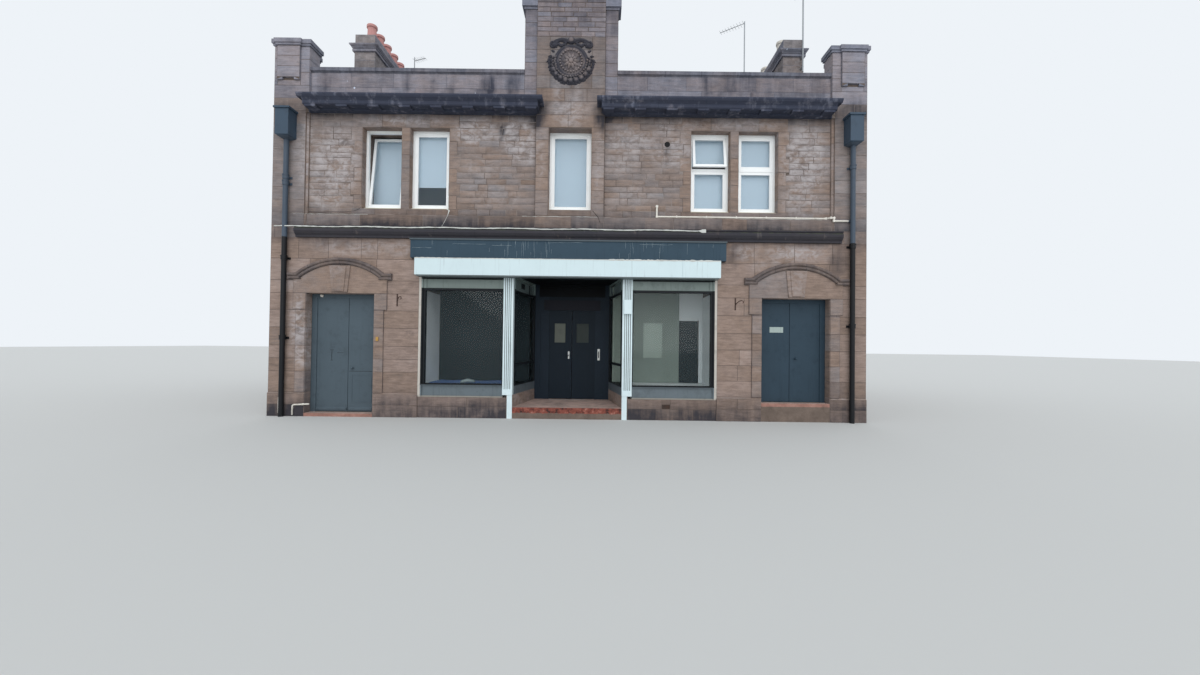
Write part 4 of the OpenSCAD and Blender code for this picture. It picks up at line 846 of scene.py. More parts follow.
upper.courses(STREET, -MID_PANEL, MID_PANEL, [CORNICE_Z, CROWN_Z, CREST_FOOT], ASHLAR, (0.5, 0.75))
# Beside the crest the panel has narrow stones at its edges
for u0, u1 in pairs([-MID_PANEL, -CREST_HALF, CREST_HALF, MID_PANEL]):
    upper.courses(STREET, u0, u1, levels(CREST_FOOT, CREST_TOP, 0.28), PARAPET, (0.3, 0.5))
upper.block(STREET, -MID_WINDOW, MID_WINDOW, panel_levels[1], SILL, ASHLAR)
upper.piece("upper_stones", ASHLAR_SKIN, "ashlar_stone")
rubble.piece("rubble_stones", RUBBLE_SKIN, "rubble_stone", smooth=True)

# Parapet, end piers and centre block

BACK_Y = 0.35
WING = 1.005
BACK = Plane("x", BACK_Y, 1)
PARAPET_FOOT, PARAPET_TOP, PIER_TOP, WING_TOP = 6.754, 7.39, 7.92, 8.825
PANEL_X, PANEL_FOOT = (5.8, 6.285), 7.19
BLOCK_TOP = (9.02, 9.27)

crown = Skin(47)
for side in (-1, 1):
    parapet_x = span(side, WING + 0.002, FIELD_END)
    crown.courses(FIELD, *parapet_x, [PARAPET_FOOT, 7.08, PARAPET_TOP], PARAPET, (0.6, 1.0))
    crown.courses(BACK, *parapet_x, levels(6.98, PARAPET_TOP, 0.2), PARAPET, (0.6, 1.0))
    pier_levels = levels(CROWN_Z, PIER_TOP, 0.28)
    panel_x = span(side, *PANEL_X)
    for z0, z1 in pairs(pier_levels):
        for plane, reach, lengths, holes in (
                (STREET, span(side, PIER_IN, HALF_W), (0.7, 0.9), (panel_x + (PANEL_FOOT, PIER_TOP),)),
                (Plane("y", side * PIER_IN, -side), (0.002, BACK_Y), (0.3, 0.4), ()),
                (Plane("y", side * HALF_W, side), (0.002, WALL_T), (0.5, 0.6), ()),
                (Plane("x", WALL_T, 1), span(side, INNER_HALF, HALF_W), (0.5, 0.6), ()),
                (BACK, span(side, PIER_IN, INNER_HALF), (0.5, 0.6), ())):
            crown.course(plane, *reach, z0, z1, PARAPET, lengths, holes)
    crown.block(STREET, *panel_x, pier_levels[1], PANEL_FOOT, PARAPET)
    crown.courses(Plane("x", -0.04, -1), *panel_x, [7.24, 7.47, 7.7, 7.915], PARAPET, (0.5, 0.7))
    wing_levels = levels(CROWN_Z, WING_TOP, 0.29)
    crown.courses(FIELD, *span(side, MID_PANEL, WING), [PARAPET_FOOT] + wing_levels[1:], PARAPET,
                  (0.26, 0.3))
    crown.courses(Plane("y", side * WING, side), 0.062, BACK_Y, wing_levels[2:], PARAPET, (0.26, 0.3))
    crown.courses(BACK, *span(side, 0.0, WING), wing_levels[1:], PARAPET, (0.4, 0.6))
    crown.courses(Plane("y", side * MID_PANEL, side), 0.002, BACK_Y, BLOCK_TOP, PARAPET, (0.3, 0.4))
crown.courses(STREET, -MID_PANEL, MID_PANEL, levels(CREST_TOP, BLOCK_TOP[1], 0.107, crown.rng, 0.1),
              RUBBLE, (0.28, 0.45))
crown.courses(BACK, -MID_PANEL, MID_PANEL, BLOCK_TOP, PARAPET, (0.4, 0.6))
crown.piece("parapet_stones", CROWN_SKIN, "ashlar_stone")

# Gables, rear wall and chimney stacks

STACK_Y = (3.07, 5.65)
back_weather = plain_weather(0.12, 0.18)
for side, name in ((-1, "gable_stones_left"), (1, "gable_stones_right")):
    skin = Skin(61 + side, back_weather)
    wall = Plane("y", side * HALF_W, side)
    for rows in (LEFT_LEVELS, [0.0, 0.51], [3.81] + STOREY_ROWS):
        skin.courses(wall, 0.004, WALL_T, rows, ASHLAR, (0.5, 0.6))
    # The skews stand 150 mm over the slates' bed, and the stones end 10 mm under their tops
    peak = (RIDGE_Y, RIDGE_Z + 0.15 - 0.01)
    slopes = ((peak, (-1, -SLOPE)), (peak, (-1, SLOPE)))
    behind_stack = (*STACK_Y, 8.86, 10.0)
    kneeler = (DEPTH, 8.9, 6.0, 7.0)
    skin.courses(wall, WALL_T, DEPTH, levels(0.0, 9.66, 0.185, skin.rng, 0.1), ROUGH, (0.32, 0.62),
                 (behind_stack, kneeler), slopes)
    skin.piece(name, RUBBLE_SKIN, "rubble_stone", smooth=True)

REAR = Plane("x", DEPTH, 1)
REAR_WINDOWS = ([(x, SILL, 5.95) for x in (-4.2, -1.5, 1.5, 4.2)]
                + [(x, 1.05, 2.55) for x in (-4.2, 0.0, 4.2)])
HALF_REAR = 0.95 / 2
QUOIN, SILL_H, LINTEL_H = 0.2, 0.16, 0.3
rear = Skin(83, back_weather)
dressed = Skin(89, back_weather)
holes = []
for x, low, high in REAR_WINDOWS:
    x0, x1 = x - HALF_REAR, x + HALF_REAR
    foot, top = low - SILL_H, high + LINTEL_H
    holes.append((x0 - QUOIN, x1 + QUOIN, foot, top))
    for z0, z1 in pairs(levels(low, high, 0.3)):
        dressed.block(REAR, x0 - QUOIN, x0, z0, z1, MARGIN)
        dressed.block(REAR, x1, x1 + QUOIN, z0, z1, MARGIN)
    dressed.block(REAR, x0 - QUOIN, x1 + QUOIN, high, top, MARGIN)
    dressed.block(REAR, x0 - QUOIN, x1 + QUOIN, foot, low, MARGIN)
rows = [0.0]
for z in (1.05 - SILL_H, 2.55 + LINTEL_H, SILL - SILL_H, 5.95 + LINTEL_H):
    rows += levels(rows[-1], z, 0.17, rear.rng, 0.1)[1:]
rear.courses(REAR, -HALF_W, HALF_W, rows, ROUGH, (0.3, 0.6), holes)
rear.piece("rear_stones", RUBBLE_SKIN, "rubble_stone", smooth=True)
dressed.piece("rear_margins", ASHLAR_SKIN, "ashlar_stone")

stacks = Skin(97, plain_weather(0.12, 0.5))
for side in (-1, 1):
    rows = levels(9.086, 9.79, 0.235)
    stack_x = span(side, INNER_HALF, HALF_W)
    for plane, reach, lengths in ((Plane("x", STACK_Y[0], -1), stack_x, (0.5, 0.6)),
                                  (Plane("x", STACK_Y[1], 1), stack_x, (0.5, 0.6)),
                                  (Plane("y", side * HALF_W, side), STACK_Y, (0.5, 0.8)),
                                  (Plane("y", side * INNER_HALF, -side), STACK_Y, (0.5, 0.8))):
        stacks.courses(plane, *reach, rows, PARAPET, lengths)
    block_x = span(side, INNER_HALF + 0.01, HALF_W - 0.01)
    stacks.course(Plane("x", 3.08, -1), *block_x, 10.01, 10.295, PARAPET, (0.5, 0.6))
stacks.piece("stack_stones", ASHLAR_SKIN, "sooty_stone")

# Slates

GAUGE, LAP, SLATE_W = 0.2, 0.1, 0.25


def slates(name, y_low, y_high, seed):
    """Overlapping slates from the lower edge to the ridge; y runs behind the street face"""
    rng = random.Random(seed)
    towards = 1 if y_high > y_low else -1
    incline = math.atan(SLOPE)
    length = abs(y_high - y_low) / math.cos(incline)
    edge = INNER_HALF - 0.01
    co, faces, tone = [], [], []
    for row in range(int((length - 0.1) / GAUGE) + 1):
        start = row * GAUGE
        x = -edge - (SLATE_W / 2 if row % 2 else 0)
        while x < INNER_HALF - 0.02:
            wide = SLATE_W * rng.uniform(0.85, 1.15)
            a, b = max(x, -edge), min(x + wide, edge)
            x += wide
            if b - a < 0.05:
                continue
            tail = start + rng.uniform(-0.004, 0.004)
            head = min(start + GAUGE + LAP, length - 0.02)
            thick = rng.uniform(0.006, 0.009)
            lift = rng.uniform(0.0, 0.003)
            first = len(co)
            for along, low in ((tail, 0.009 + lift), (head, 0.001)):
                for up in (low, low + thick):
                    for u in (a + 0.0015, b - 0.0015):
                        y = y_low + towards * along * math.cos(incline)
                        z = roof_at(y_low) + along * math.sin(incline)
                        co.append((u, y - towards * up * math.sin(incline), z + up * math.cos(incline)))
            for quad in ((2, 3, 7, 6), (0, 1, 3, 2), (0, 2, 6, 4), (1, 5, 7, 3), (0, 4, 5, 1), (4, 6, 7, 5)):
                faces.append(tuple(first + k for k in quad[::towards]))
            tone += [(min(1, max(0, rng.gauss(0.5, 0.22))), rng.random(), rng.random(), 0)] * 8
    carry_tone(piece(name, co, faces, SLATE), tone)


slates("slates_front", 1.25, RIDGE_Y - 0.02, 5)
slates("slates_rear", DEPTH + 0.18, RIDGE_Y + 0.02, 6)

# Materials of the frame's own nodes

def wall_rule(centre, normal):
    """0 bed of the stones, 1 dressed reveal, 2 plastered inside"""
    x, y, z = centre
    out, back, sideways = normal.y < -0.9, normal.y > 0.9, abs(normal.x) > 0.9
    if abs(x) < 1.3 and z < 0.6:
        return 1
    if (out and y < 0.07) or (sideways and abs(x) > HALF_W - 0.01) or (back and y > DEPTH - 0.01):
        return 0
    plastered = ((back and abs(y - WALL_T) < 0.01 and z < 6.6)
                 or (sideways and abs(x) < INNER_HALF + 0.01 and y > WALL_T and z < 8)
                 or (out and abs(y - (DEPTH - WALL_T)) < 0.01))
    return 2 if plastered else 1


def crown_rule(centre, normal):
    """The same above the cornice, where caps and ledges are dressed"""
    x, y, z = centre
    cap = z > (7.93 if abs(x) > 1.2 else 8.83 if abs(x) > 0.74 else 9.28)
    ledge = y < -0.005 and not 7.3 < z < 7.9
    return 1 if cap or ledge else wall_rule(centre, normal)


def keystone_rule(centre, normal):
    return int(abs(abs(centre[0]) - DOOR_MID) < 0.27 and centre[2] < 3.21)


def dress(names, *materials, rule=None):
    """Gives frame nodes their materials; rule(centre, normal) picks one for each face"""
    for name in names.split():
        mesh = nodes[name].data
        mesh.materials.clear()
        for material in materials:
            mesh.materials.append(material)
        for face in mesh.polygons if rule else ():
            c = face.center
            face.material_index = rule((c.x, c.y - FACE_Y, c.z), face.normal)


dress("front_pier_left front_pier_right side_door_lintels wall_left_of_shop wall_right_of_shop shop_beam "
      "stall_riser_left stall_riser_right upper_wall_centre", ASHLAR_BED, DRESSED, PLASTER, rule=wall_rule)
dress("parapet_piers centre_block", ASHLAR_BED, CROWN_DRESSED, PLASTER, rule=crown_rule)
dress("upper_wall_left upper_wall_right gable_left gable_right rear_wall", RUBBLE_BED, DRESSED, PLASTER,
      rule=wall_rule)
dress("hood_moulds", HOOD, DRESSED, rule=keystone_rule)
dress("side_door_frames", LEFT_DOOR, RIGHT_DOOR, rule=lambda centre, normal: int(centre[0] > 0))
for names, material in (
        ("string_course", STRING), ("cornice", CORNICE), ("parapet_walls", COPE), ("crest", CARVED),
        ("chimney_stacks", STACK), ("chimney_pots", CLAY), ("roof_front roof_rear", SLATE_BED),
        ("roof_ridge parapet_gutter", LEAD), ("rear_rainwater downpipes", PIPE),
        ("ground_floor", FLOORING), ("first_floor", BOARDING), ("upper_ceiling", PLASTER),
        ("window_frames", WHITE_FRAME), ("window_glass", UPPER_PANE), ("shop_posts", POST_PAINT),
        ("shop_frames", FRAME_PAINT), ("shop_glass", SHOP_PANE),
        ("lobby_screen shop_door_leaf_a shop_door_leaf_b", NAVY), ("lobby_soffit", SOFFIT),
        ("grey_fascia", GREY_FASCIA), ("white_fascia", WHITE_FASCIA), ("display_beds", WHITE_BOARD),
        ("left_door_leaf_a left_door_leaf_b", LEFT_DOOR),
        ("right_door_leaf_a right_door_leaf_b", RIGHT_DOOR),
        ("door_steps", STEP), ("waste_pipe", WASTE), ("aerials", AERIAL)):
    dress(names, material)

# Small parts, in batches of one material

class Batch:
    """Collects closed shapes of one material"""

    def __init__(self):
        self.co, self.faces = [], []

    def add(self, co, faces):
        first = len(self.co)
        self.co += [tuple(c) for c in co]
        self.faces += [tuple(first + k for k in face) for face in faces]

    def rings(self, rings):
        """Joins rings of as many points each, and closes both ends"""
        n = len(rings[0])
        faces = []
        for k in range(len(rings) - 1):
            for i in range(n):
                j = (i + 1) % n
                faces.append((k * n + i, k * n + j, (k + 1) * n + j, (k + 1) * n + i))
        faces.append(tuple(reversed(range(n))))
        last = (len(rings) - 1) * n
        faces.append(tuple(last + i for i in range(n)))
        self.add([point for ring in rings for point in ring], faces)

    def tube(self, path, radii, sides=8):
        path = [Vector(p) for p in path]
        if not hasattr(radii, "__len__"):
            radii = [radii] * len(path)
        made = []
        side = None
        for k, p in enumerate(path):
            ahead = path[min(k + 1, len(path) - 1)] - path[max(k - 1, 0)]
            ahead.normalize()
            if side is None:
                side = ahead.orthogonal().normalized()
            side = (side - ahead * side.dot(ahead)).normalized()
            up = ahead.cross(side)
            made.append([p + (side * math.cos(a) + up * math.sin(a)) * radii[k]
                         for a in (math.tau * i / sides for i in range(sides))])
        self.rings(made)

    def strip(self, path, widths, y, thick=0.0015):
        """A raised line along (x, z) points on the face at this y, towards the street"""
        if not hasattr(widths, "__len__"):
            widths = [widths] * len(path)
        made = []
        for k, (x, z) in enumerate(path):
            x0, z0 = path[max(k - 1, 0)]
            x1, z1 = path[min(k + 1, len(path) - 1)]
            length = math.hypot(x1 - x0, z1 - z0)
            nx, nz = (z0 - z1) / length * widths[k] / 2, (x1 - x0) / length * widths[k] / 2
            made.append([(x + nx, y, z + nz), (x - nx, y, z - nz),
                         (x - nx * 0.6, y - thick, z - nz * 0.6), (x + nx * 0.6, y - thick, z + nz * 0.6)])
        self.rings(made)

    def plate(self, x0, x1, y0, y1, z0, z1, edge=0.002):
        """A board or plate whose street face, at y0, has chamfered edges"""
        self.rings([[(x0 + inset, y, z0 + inset), (x0 + inset, y, z1 - inset),
                     (x1 - inset, y, z1 - inset), (x1 - inset, y, z0 + inset)]
                    for y, inset in ((y1, 0), (y0 + edge, 0), (y0, edge))])

    def leaf(self, x, z, angle, length, width, y, rise):
        """A carved leaf in relief: a ridge along its middle and a pointed end"""
        ca, sa = math.cos(angle), math.sin(angle)
        outline = [(0, 0, 0), (0.3, -0.5, 0), (0.7, -0.35, 0), (1, 0, 0), (0.7, 0.35, 0), (0.3, 0.5, 0)]
        ridge = [(0.05, 0, 0.6), (0.4, 0, 1.0), (0.85, 0, 0.5)]
        shoulders = [(0.4, -0.28, 0.75), (0.4, 0.28, 0.75)]
        co = []
        for a, b, up in outline + ridge + shoulders:
            a, b = a * length, b * width
            co.append((x + a * ca - b * sa, y - up * rise, z + a * sa + b * ca))
        self.add(co, [(0, 1, 9, 6), (6, 9, 7), (1, 2, 9), (2, 8, 7, 9), (2, 3, 8), (3, 4, 8),
                      (4, 10, 7, 8), (4, 5, 10), (5, 0, 6, 10), (6, 7, 10), (5, 4, 3, 2, 1, 0)])

    def piece(self, name, material, slot, body="building", smooth=False):
        made = piece(name, self.co, self.faces, material, body, smooth)
        shell = bmesh.new()
        shell.from_mesh(made.data)
        bmesh.ops.recalc_face_normals(shell, faces=shell.faces)
        shell.to_mesh(made.data)
        shell.free()


def plates(name, material, slot, *boxes, body="building"):
    """A piece made of plates; each box is x0, x1, y0, y1, z0, z1 and perhaps its chamfer"""
    batch = Batch()
    for box in boxes:
        batch.plate(*box)
    batch.piece(name, material, slot, body)


def strips(name, material, slot, lines, body="building"):
    """A piece made of strips; each line is a path, widths, y and thickness"""
    batch = Batch()
    for line in lines:
        batch.strip(*line)
    batch.piece(name, material, slot, body)


small = random.Random(7)

# Carving round the crest: three rows of leaves, scrolls over it, a rosette and a ring of beads

CREST_Z = 7.65
carving = Batch()
LEAF_ROWS = ((0.47, 0.13, 0.035, 0.0), (0.4, 0.12, 0.045, -0.03), (0.345, 0.09, 0.03, -0.05))
for row, (radius, size, rise, base) in enumerate(LEAF_ROWS):
    count = 26 - 2 * row
    for k in range(count):
        turn = math.radians(168 + 204 * (k + 0.5 * (row % 2)) / count)
        lean = turn + math.radians(90 + small.uniform(-55, 55))
        x = radius * math.cos(turn) - 0.5 * size * math.cos(lean)
        z = CREST_Z + radius * math.sin(turn) - 0.5 * size * math.sin(lean)
        carving.leaf(x, z, lean, size, size * 0.62, base, rise * small.uniform(0.8, 1.2))
for side in (-1, 1):
    ribbon = []
    for k in range(26):
        t = k / 25
        if t < 0.55:
            s = t / 0.55
            x, z = 0.04 + 0.36 * s, 0.43 + 0.07 * math.sin(math.pi * s * 0.9) - 0.05 * s
        else:
            s = (t - 0.55) / 0.45
            turn = math.radians(80 - 470 * s)
            reach = 0.07 * (1 - 0.75 * s)
            x, z = 0.39 + reach * math.cos(turn) * 0.9, 0.36 + reach * math.sin(turn)
        ribbon.append((side * x, -0.015, CREST_Z + z))
    carving.tube(ribbon, [0.04 - 0.024 * (k / 25) for k in range(26)], 7)
    under = [(side * (0.1 + 0.24 * k / 8), -0.01, CREST_Z + 0.36 + 0.02 * math.sin(k * 1.3))
             for k in range(9)]
    carving.tube(under, [0.022 + 0.012 * math.sin(math.pi * k / 8) for k in range(9)], 7)
    for k in range(4):
        lean = math.radians(90 - side * (40 + 25 * k))
        carving.leaf(side * (0.3 + 0.05 * k), CREST_Z + 0.3 - 0.09 * k, lean, 0.1, 0.06, -0.002, 0.03)
for k in range(10):
    turn = math.tau * k / 10
    carving.leaf(0.03 * math.cos(turn), CREST_Z + 0.03 * math.sin(turn), turn, 0.17, 0.085, -0.045, 0.04)
carving.tube([(0, -0.03, CREST_Z), (0, -0.08, CREST_Z), (0, -0.094, CREST_Z)], [0.05, 0.046, 0.024], 12)
for k in range(24):
    turn = math.tau * k / 24
    x, z = 0.235 * math.cos(turn), CREST_Z + 0.235 * math.sin(turn)
    carving.tube([(x, -0.04, z), (x, -0.07, z), (x, -0.08, z)], [0.022, 0.019, 0.009], 7)
carving.piece("crest_carving", CARVED, "sooty_stone")

# Old paint, sealant and plaster at the fascias

GREY_OUT = 0.1
FLASH_Z = 4.02
drips = []
for k in range(46):
    reach = (-1.5, -0.35) if k < 22 else (0.9, 3.2) if k < 36 else (-3.2, 3.2)
    x = small.uniform(*reach)
    top = small.choice((3.765, small.uniform(3.5, 3.74)))
    length = min(small.uniform(0.06, 0.3), top - 3.395)
    wide = small.uniform(0.002, 0.005)
    path = [(x + small.uniform(-0.002, 0.002), top - length * j / 4) for j in range(5)]
    drips.append((path, [wide * f for f in (0.5, 1.0, 0.8, 0.7, 0.3)], -GREY_OUT))
for x0, x1, z in ((-2.45, -1.75, 3.69), (-1.62, -1.2, 3.665), (-3.3, -2.9, 3.6), (1.5, 2.2, 3.72),
                  (-0.4, 0.3, 3.74)):
    path = [(x0 + (x1 - x0) * j / 6, z + small.uniform(-0.006, 0.006)) for j in range(7)]
    drips.append((path, [small.uniform(0.0015, 0.005) for _ in path], -GREY_OUT))
strips("fascia_drips", DRIP, "grey_fascia_paint", drips)

plaster = Batch()
rings = []
for k in range(161):
    x = -3.19 + 6.38 * k / 160
    lump = (0.3 + 0.7 * (x > 0.85) + 0.35 * (x < -2.6)) * small.uniform(0.1, 1.0)
    rings.append([(x, -0.1, 3.362), (x, -0.1, 3.374 + 0.034 * lump), (x, -0.16, 3.37 + 0.03 * lump),
                  (x, -0.235, 3.366 + 0.016 * lump), (x, -0.2515, 3.356 + 0.004 * lump),
                  (x, -0.2515, 3.351 - 0.014 * lump), (x, -0.245, 3.35)])
plaster.rings(rings)
plaster.piece("fascia_plaster", CHALK, "plaster")

path, widths = [], []
for k in range(121):
    z = FLASH_Z + 0.006 * math.sin(k * 0.31) + small.uniform(-0.003, 0.003)
    path.append((-6.22 + 9.12 * k / 120, z))
    widths.append(0.017 + 0.012 * small.random() + (0.05 if k > 118 else 0.0))
flashing = [(path, widths, -0.1205, 0.004)]
for x0, x1 in ((-5.9, -4.3), (-1.0, 0.6), (3.6, 5.4)):
    path = [(x0 + (x1 - x0) * j / 24, 4.316 + small.uniform(-0.004, 0.004)) for j in range(25)]
    flashing.append((path, [small.uniform(0.002, 0.009) for _ in path], -0.0042))
flashing.append(([(-2.62, 4.45), (-2.565, 4.42), (-2.6, 4.31), (-2.66, 4.18), (-2.72, 4.075)],
                 [0.02, 0.03, 0.009, 0.008, 0.008], -0.0042, 0.003))
strips("pale_flashing", CHALK, "lead", flashing)

# Cracks and open joints in the band under the upper windows, and the vent hole

cracks = Batch()
for path in ([(-4.46, 4.462), (-4.53, 4.41), (-4.62, 4.385), (-4.8, 4.36), (-5.02, 4.366), (-5.3, 4.35),
              (-5.56, 4.358)],
             [(0.5, 4.45), (0.56, 4.38), (0.62, 4.31), (0.66, 4.2)]):
    cracks.strip(path, [small.uniform(0.006, 0.014) for _ in path], -0.005, 0.002)
# The vent hole is a dark disc set behind the stones' faces: painted shade inside the hole
cracks.tube([(2.09, 0.058, 5.92), (2.09, 0.046, 5.92)], [0.062, 0.058], 16)
cracks.piece("cracks_and_vent", DEEP, "ashlar_stone")

# Pipes, wires and fittings on the wall

pale = Batch()
pale.tube([(-5.45, -0.045, 0.264), (-5.6, -0.045, 0.256), (-5.775, -0.045, 0.246), (-5.797, -0.045, 0.232),
           (-5.803, -0.045, 0.2), (-5.805, -0.045, 0.03)], 0.017)
pale.tube([(-5.56, -0.045, 0.258), (-5.6, -0.045, 0.256)], 0.023)
pale.tube([(-6.083, -0.022, 3.8), (-6.09, -0.022, 2.0), (-6.096, -0.022, 0.3)], 0.011)
pale.tube([(-6.098, -0.03, 0.4), (-6.1, -0.03, 0.07)], 0.021)
pale.tube([(-5.36, 0.178, z) for z in (2.607, 2.575, 2.556, 2.549)], [0.034, 0.034, 0.024, 0.008], 12)
pale.piece("pale_pipes", WASTE, "waste_plastic", smooth=True)

iron = Batch()
for x in (3.565, -3.64):
    iron.plate(x - 0.013, x + 0.013, -0.013, -0.003, 2.36, 2.62)
    iron.tube([(x, -0.01, 2.47), (x + 0.02, -0.035, 2.505), (x + 0.06, -0.07, 2.545), (x + 0.1, -0.1, 2.56),
               (x + 0.13, -0.12, 2.545), (x + 0.135, -0.125, 2.515), (x + 0.118, -0.12, 2.5)], 0.0085)
for z in (0.25, 0.27, 0.29, 0.31):
    iron.plate(2.03, 2.19, 0.004, 0.012, z, z + 0.009)
iron.piece("iron_fittings", RUSTY, "pipe_paint")

bell = Batch()
bell.plate(-4.066, -4.014, -0.05, -0.03, 1.615, 1.7)
bell.tube([(-4.04, -0.048, 1.657), (-4.04, -0.056, 1.657)], [0.012, 0.01], 12)
bell.piece("bell", BRASS, "pipe_paint")

plates("pull_plate_and_strip", STEEL, "aerial_metal",
       (0.632, 0.69, 1.5, 1.511, 1.2, 1.48), (-0.55, 0.34, 1.36, 1.4, 0.2395, 0.247))
plates("pull_slot", DEEP, "navy_paint",
       (0.65, 0.672, 1.4985, 1.5, 1.26, 1.42, 0.0004), (-0.69, -0.66, 1.4695, 1.47, 2.5, 2.6, 0.0002))
plates("lever_plate", STEEL, "navy_paint", (-0.098, -0.056, 1.512, 1.5195, 1.23, 1.415),
       body="shop_door_leaf_a")

LEAF_Y = 0.2148
strips("door_line", DEEP, "left_door_paint",
       [([(-4.76, 0.952), (-4.6, 0.95), (-4.4, 0.953), (-4.25, 0.95)], 0.008, LEAF_Y, 0.0008)],
       "left_door_leaf_b")
strips("door_marks", DEEP, "left_door_paint",
       [([(-5.139, 1.404), (-5.143, 1.3), (-5.141, 1.186)], [0.009, 0.012, 0.009], LEAF_Y, 0.0006)]
       + [([(x0, z), (x1, z + 0.003)], 0.006, LEAF_Y, 0.0006)
          for x0, x1, z in ((-5.18, -5.1, 1.408), (-5.175, -5.11, 1.184), (-5.03, -4.893, 1.348))],
       "left_door_leaf_a")

# Boards and things behind the shop windows

BOARD_Y = (1.155, 1.155 + 0.02)
# The dark boards behind the glass are painted shade of the dim shop inside
plates("dark_boards", SHADE_BOARD, "white_board", (-3.138, -0.99, *BOARD_Y, 0.702, 2.97),
       (2.574, 3.04, 1.155 + 0.1, 1.155 + 0.12, 0.25, 2.18))
plates("green_board", GREEN_BOARD, "white_board", (0.99, 2.574, *BOARD_Y, 0.702, 2.97))
plates("clean_boards", WHITE_BOARD, "white_board", (2.576, 3.138, *BOARD_Y, 2.182, 2.97),
       (3.042, 3.138, *BOARD_Y, 0.702, 2.18))
plates("blank_notice", GREEN_BOARD, "white_board", (1.62, 2.02, 0.0735, 0.0755, 1.32, 2.06, 0.0005))
roll = Batch()
roll.tube([(-2.35, 0.24, 0.738), (-2.3, 0.26, 0.752), (-2.2, 0.3, 0.768), (-2.1, 0.35, 0.752),
           (-2.06, 0.38, 0.74)], [0.014, 0.034, 0.046, 0.034, 0.016], 10)
roll.piece("pale_roll", PANEL, "white_board", smooth=True)
# A dark strip on the transom behind the shut vent is painted shade in the gap under it
plates("vent_gap_shade", DEEP, "white_frame", (2.662, 3.398, 0.287, 0.2965, 5.468, 5.54, 0.001))

# Panels over the lobby's splayed sides, and the vent in the left one

along = Vector((-0.26, 1.5)).normalized()


def on_return(side, s, n, z):
    """s runs back along the splayed side from the street, n towards the lobby"""
    return (side * (1.17 + along.x * s - along.y * n), along.y * s + along.x * n, z)


def splayed(side, s0, s1, z0, z1, n0, n1):
    """The back and front outlines of a plate on a splayed side"""
    corners = [(s0, z0), (s0, z1), (s1, z1), (s1, z0)]
    return [[on_return(side, s, n, z) for s, z in corners] for n in (n0, n1)]


splay_panels = Batch()
for side in (-1, 1):
    back, front = splayed(side, 0.19, 1.47, 2.76, 3.0, -0.058, -0.046)
    splay_panels.rings([back[::-1], front[::-1]] if side > 0 else [back, front])
splay_panels.piece("splay_panels", PANEL, "pale_paint")
vent = Batch()
# The vent is a thin dark plate on the panel: painted shade inside its opening
vent.rings(splayed(-1, 0.62, 0.86, 2.84, 2.96, -0.046, -0.044))
vent.piece("splay_vent", DEEP, "pale_paint")

# Cloth: the cover on the left display bed, and blinds behind the upper windows

def cloth_grid(name, across, down, point, material):
    """One layer of cloth through point(s, t), where s and t run from 0 to 1"""
    co = [point(i / across, j / down) for j in range(down + 1) for i in range(across + 1)]
    corners = [j * (across + 1) + i for j in range(down) for i in range(across)]
    faces = [(a, a + across + 1, a + across + 2, a + 1) for a in corners]
    return piece(name, co, faces, material, smooth=True)


def on_bed(s, t):
    """The bed cover's points: low folds that run mostly back to front"""
    x, y = -3.1 + 1.68 * s, 1.1 - 0.96 * t
    fold = 0.5 + 0.5 * math.sin(19 * s + 2.1 * math.sin(4 * t + 5 * s))
    return x, y, 0.7025 + 0.012 * fold * fold + 0.003 * small.random()


cover = cloth_grid("blue_bed_cover", 56, 24, on_bed, BLUE_COVER)


def blind(name, x0, x1, y, z0, z1):
    """A roller blind that hangs from its tube, with a slight curl across"""
    def hanging(s, t):
        bow = 0.006 * math.sin(math.pi * s) * math.sin(2.2 * math.pi * t)
        return x0 + s * (x1 - x0), y + bow, z1 - t * (z1 - z0)

    made = cloth_grid(name, 8, 18, hanging, BLIND)


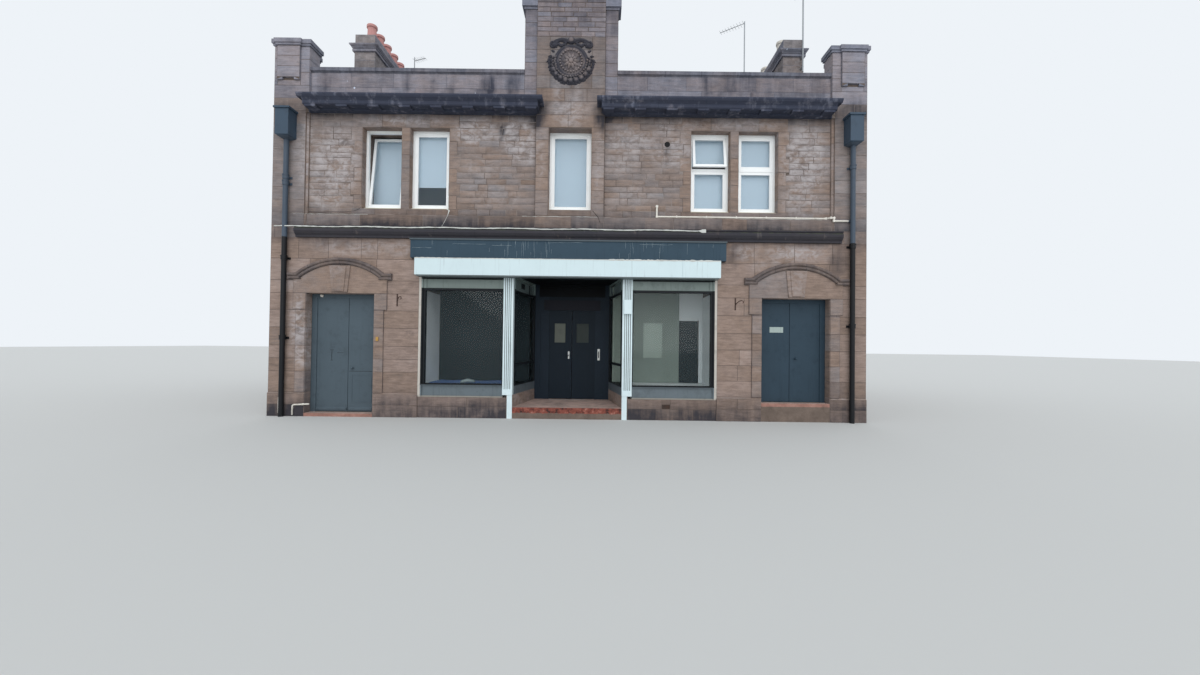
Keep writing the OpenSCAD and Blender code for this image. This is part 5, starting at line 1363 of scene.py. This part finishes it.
BLIND_TOP = 6.2
blind("blind_far_left", -4.47, -3.64, 0.57, 4.5, BLIND_TOP)
blind("blind_left", -3.445, -2.615, 0.34, 5.02, BLIND_TOP)
blind("blind_middle", -0.45, 0.45, 0.34, 4.49, BLIND_TOP)
blind("blind_right", 2.615, 3.445, 0.36, 4.49, BLIND_TOP)
blind("blind_far_right", 3.64, 4.47, 0.34, 4.49, BLIND_TOP)

# Camera at the photograph's place

camera_data = bpy.data.cameras.new("camera")
camera_data.sensor_width = 36
camera_data.lens = 13.53
camera_data.clip_end = 300
camera = bpy.data.objects.new("camera", camera_data)
camera.matrix_world = (Matrix.Translation((0.690, -13.951, 1.620))
                       @ Matrix.Rotation(math.radians(90.746), 4, "X")
                       @ Matrix.Rotation(math.radians(0.689), 4, "Z"))
scene.collection.objects.link(camera)
scene.camera = camera
scene.view_settings.view_transform = "Standard"

# Sky: the plain light of an overcast day, and a pale backdrop for what is seen directly

sky = Graph(bpy.data.worlds.new("sky"))
scene.world = sky.owner
seen = sky.add("ShaderNodeLightPath", output="Is Camera Ray")
seen = seen.at_least(seen.output("Is Glossy Ray")).at_least(seen.output("Is Transmission Ray"))
daylight = sky.add("ShaderNodeBackground", {0: (0.93, 0.97, 1.0, 1), 1: 0.84})
backdrop = sky.add("ShaderNodeBackground", {0: srgb(238, 243, 248), 1: 1.0})
choice = sky.add("ShaderNodeMixShader", {0: seen, 1: daylight, 2: backdrop})
sky.add("ShaderNodeOutputWorld", {0: choice}, None)

sun_data = bpy.data.lights.new("soft_sun", "SUN")
sun_data.energy = 1.15
sun_data.angle = math.radians(70)
sun_data.color = (0.98, 0.99, 1.0)
sun = bpy.data.objects.new("soft_sun", sun_data)
sun.rotation_euler = (math.radians(58), 0, math.radians(8))
scene.collection.objects.link(sun)

FLOOR_HALF, FLOOR_Z = 90, -0.001
floor_mesh = bpy.data.meshes.new("floor")
corners = [(x * FLOOR_HALF, y * FLOOR_HALF, FLOOR_Z) for x, y in ((-1, -1), (1, -1), (1, 1), (-1, 1))]
floor_mesh.from_pydata(corners, [], [(0, 1, 2, 3)])
floor = bpy.data.objects.new("floor", floor_mesh)
pale_floor = Surface("floor_pale")
pale_floor.set(Base_Color=srgb(206, 207, 206), Roughness=0.95)
floor_mesh.materials.append(pale_floor.owner)
scene.collection.objects.link(floor)
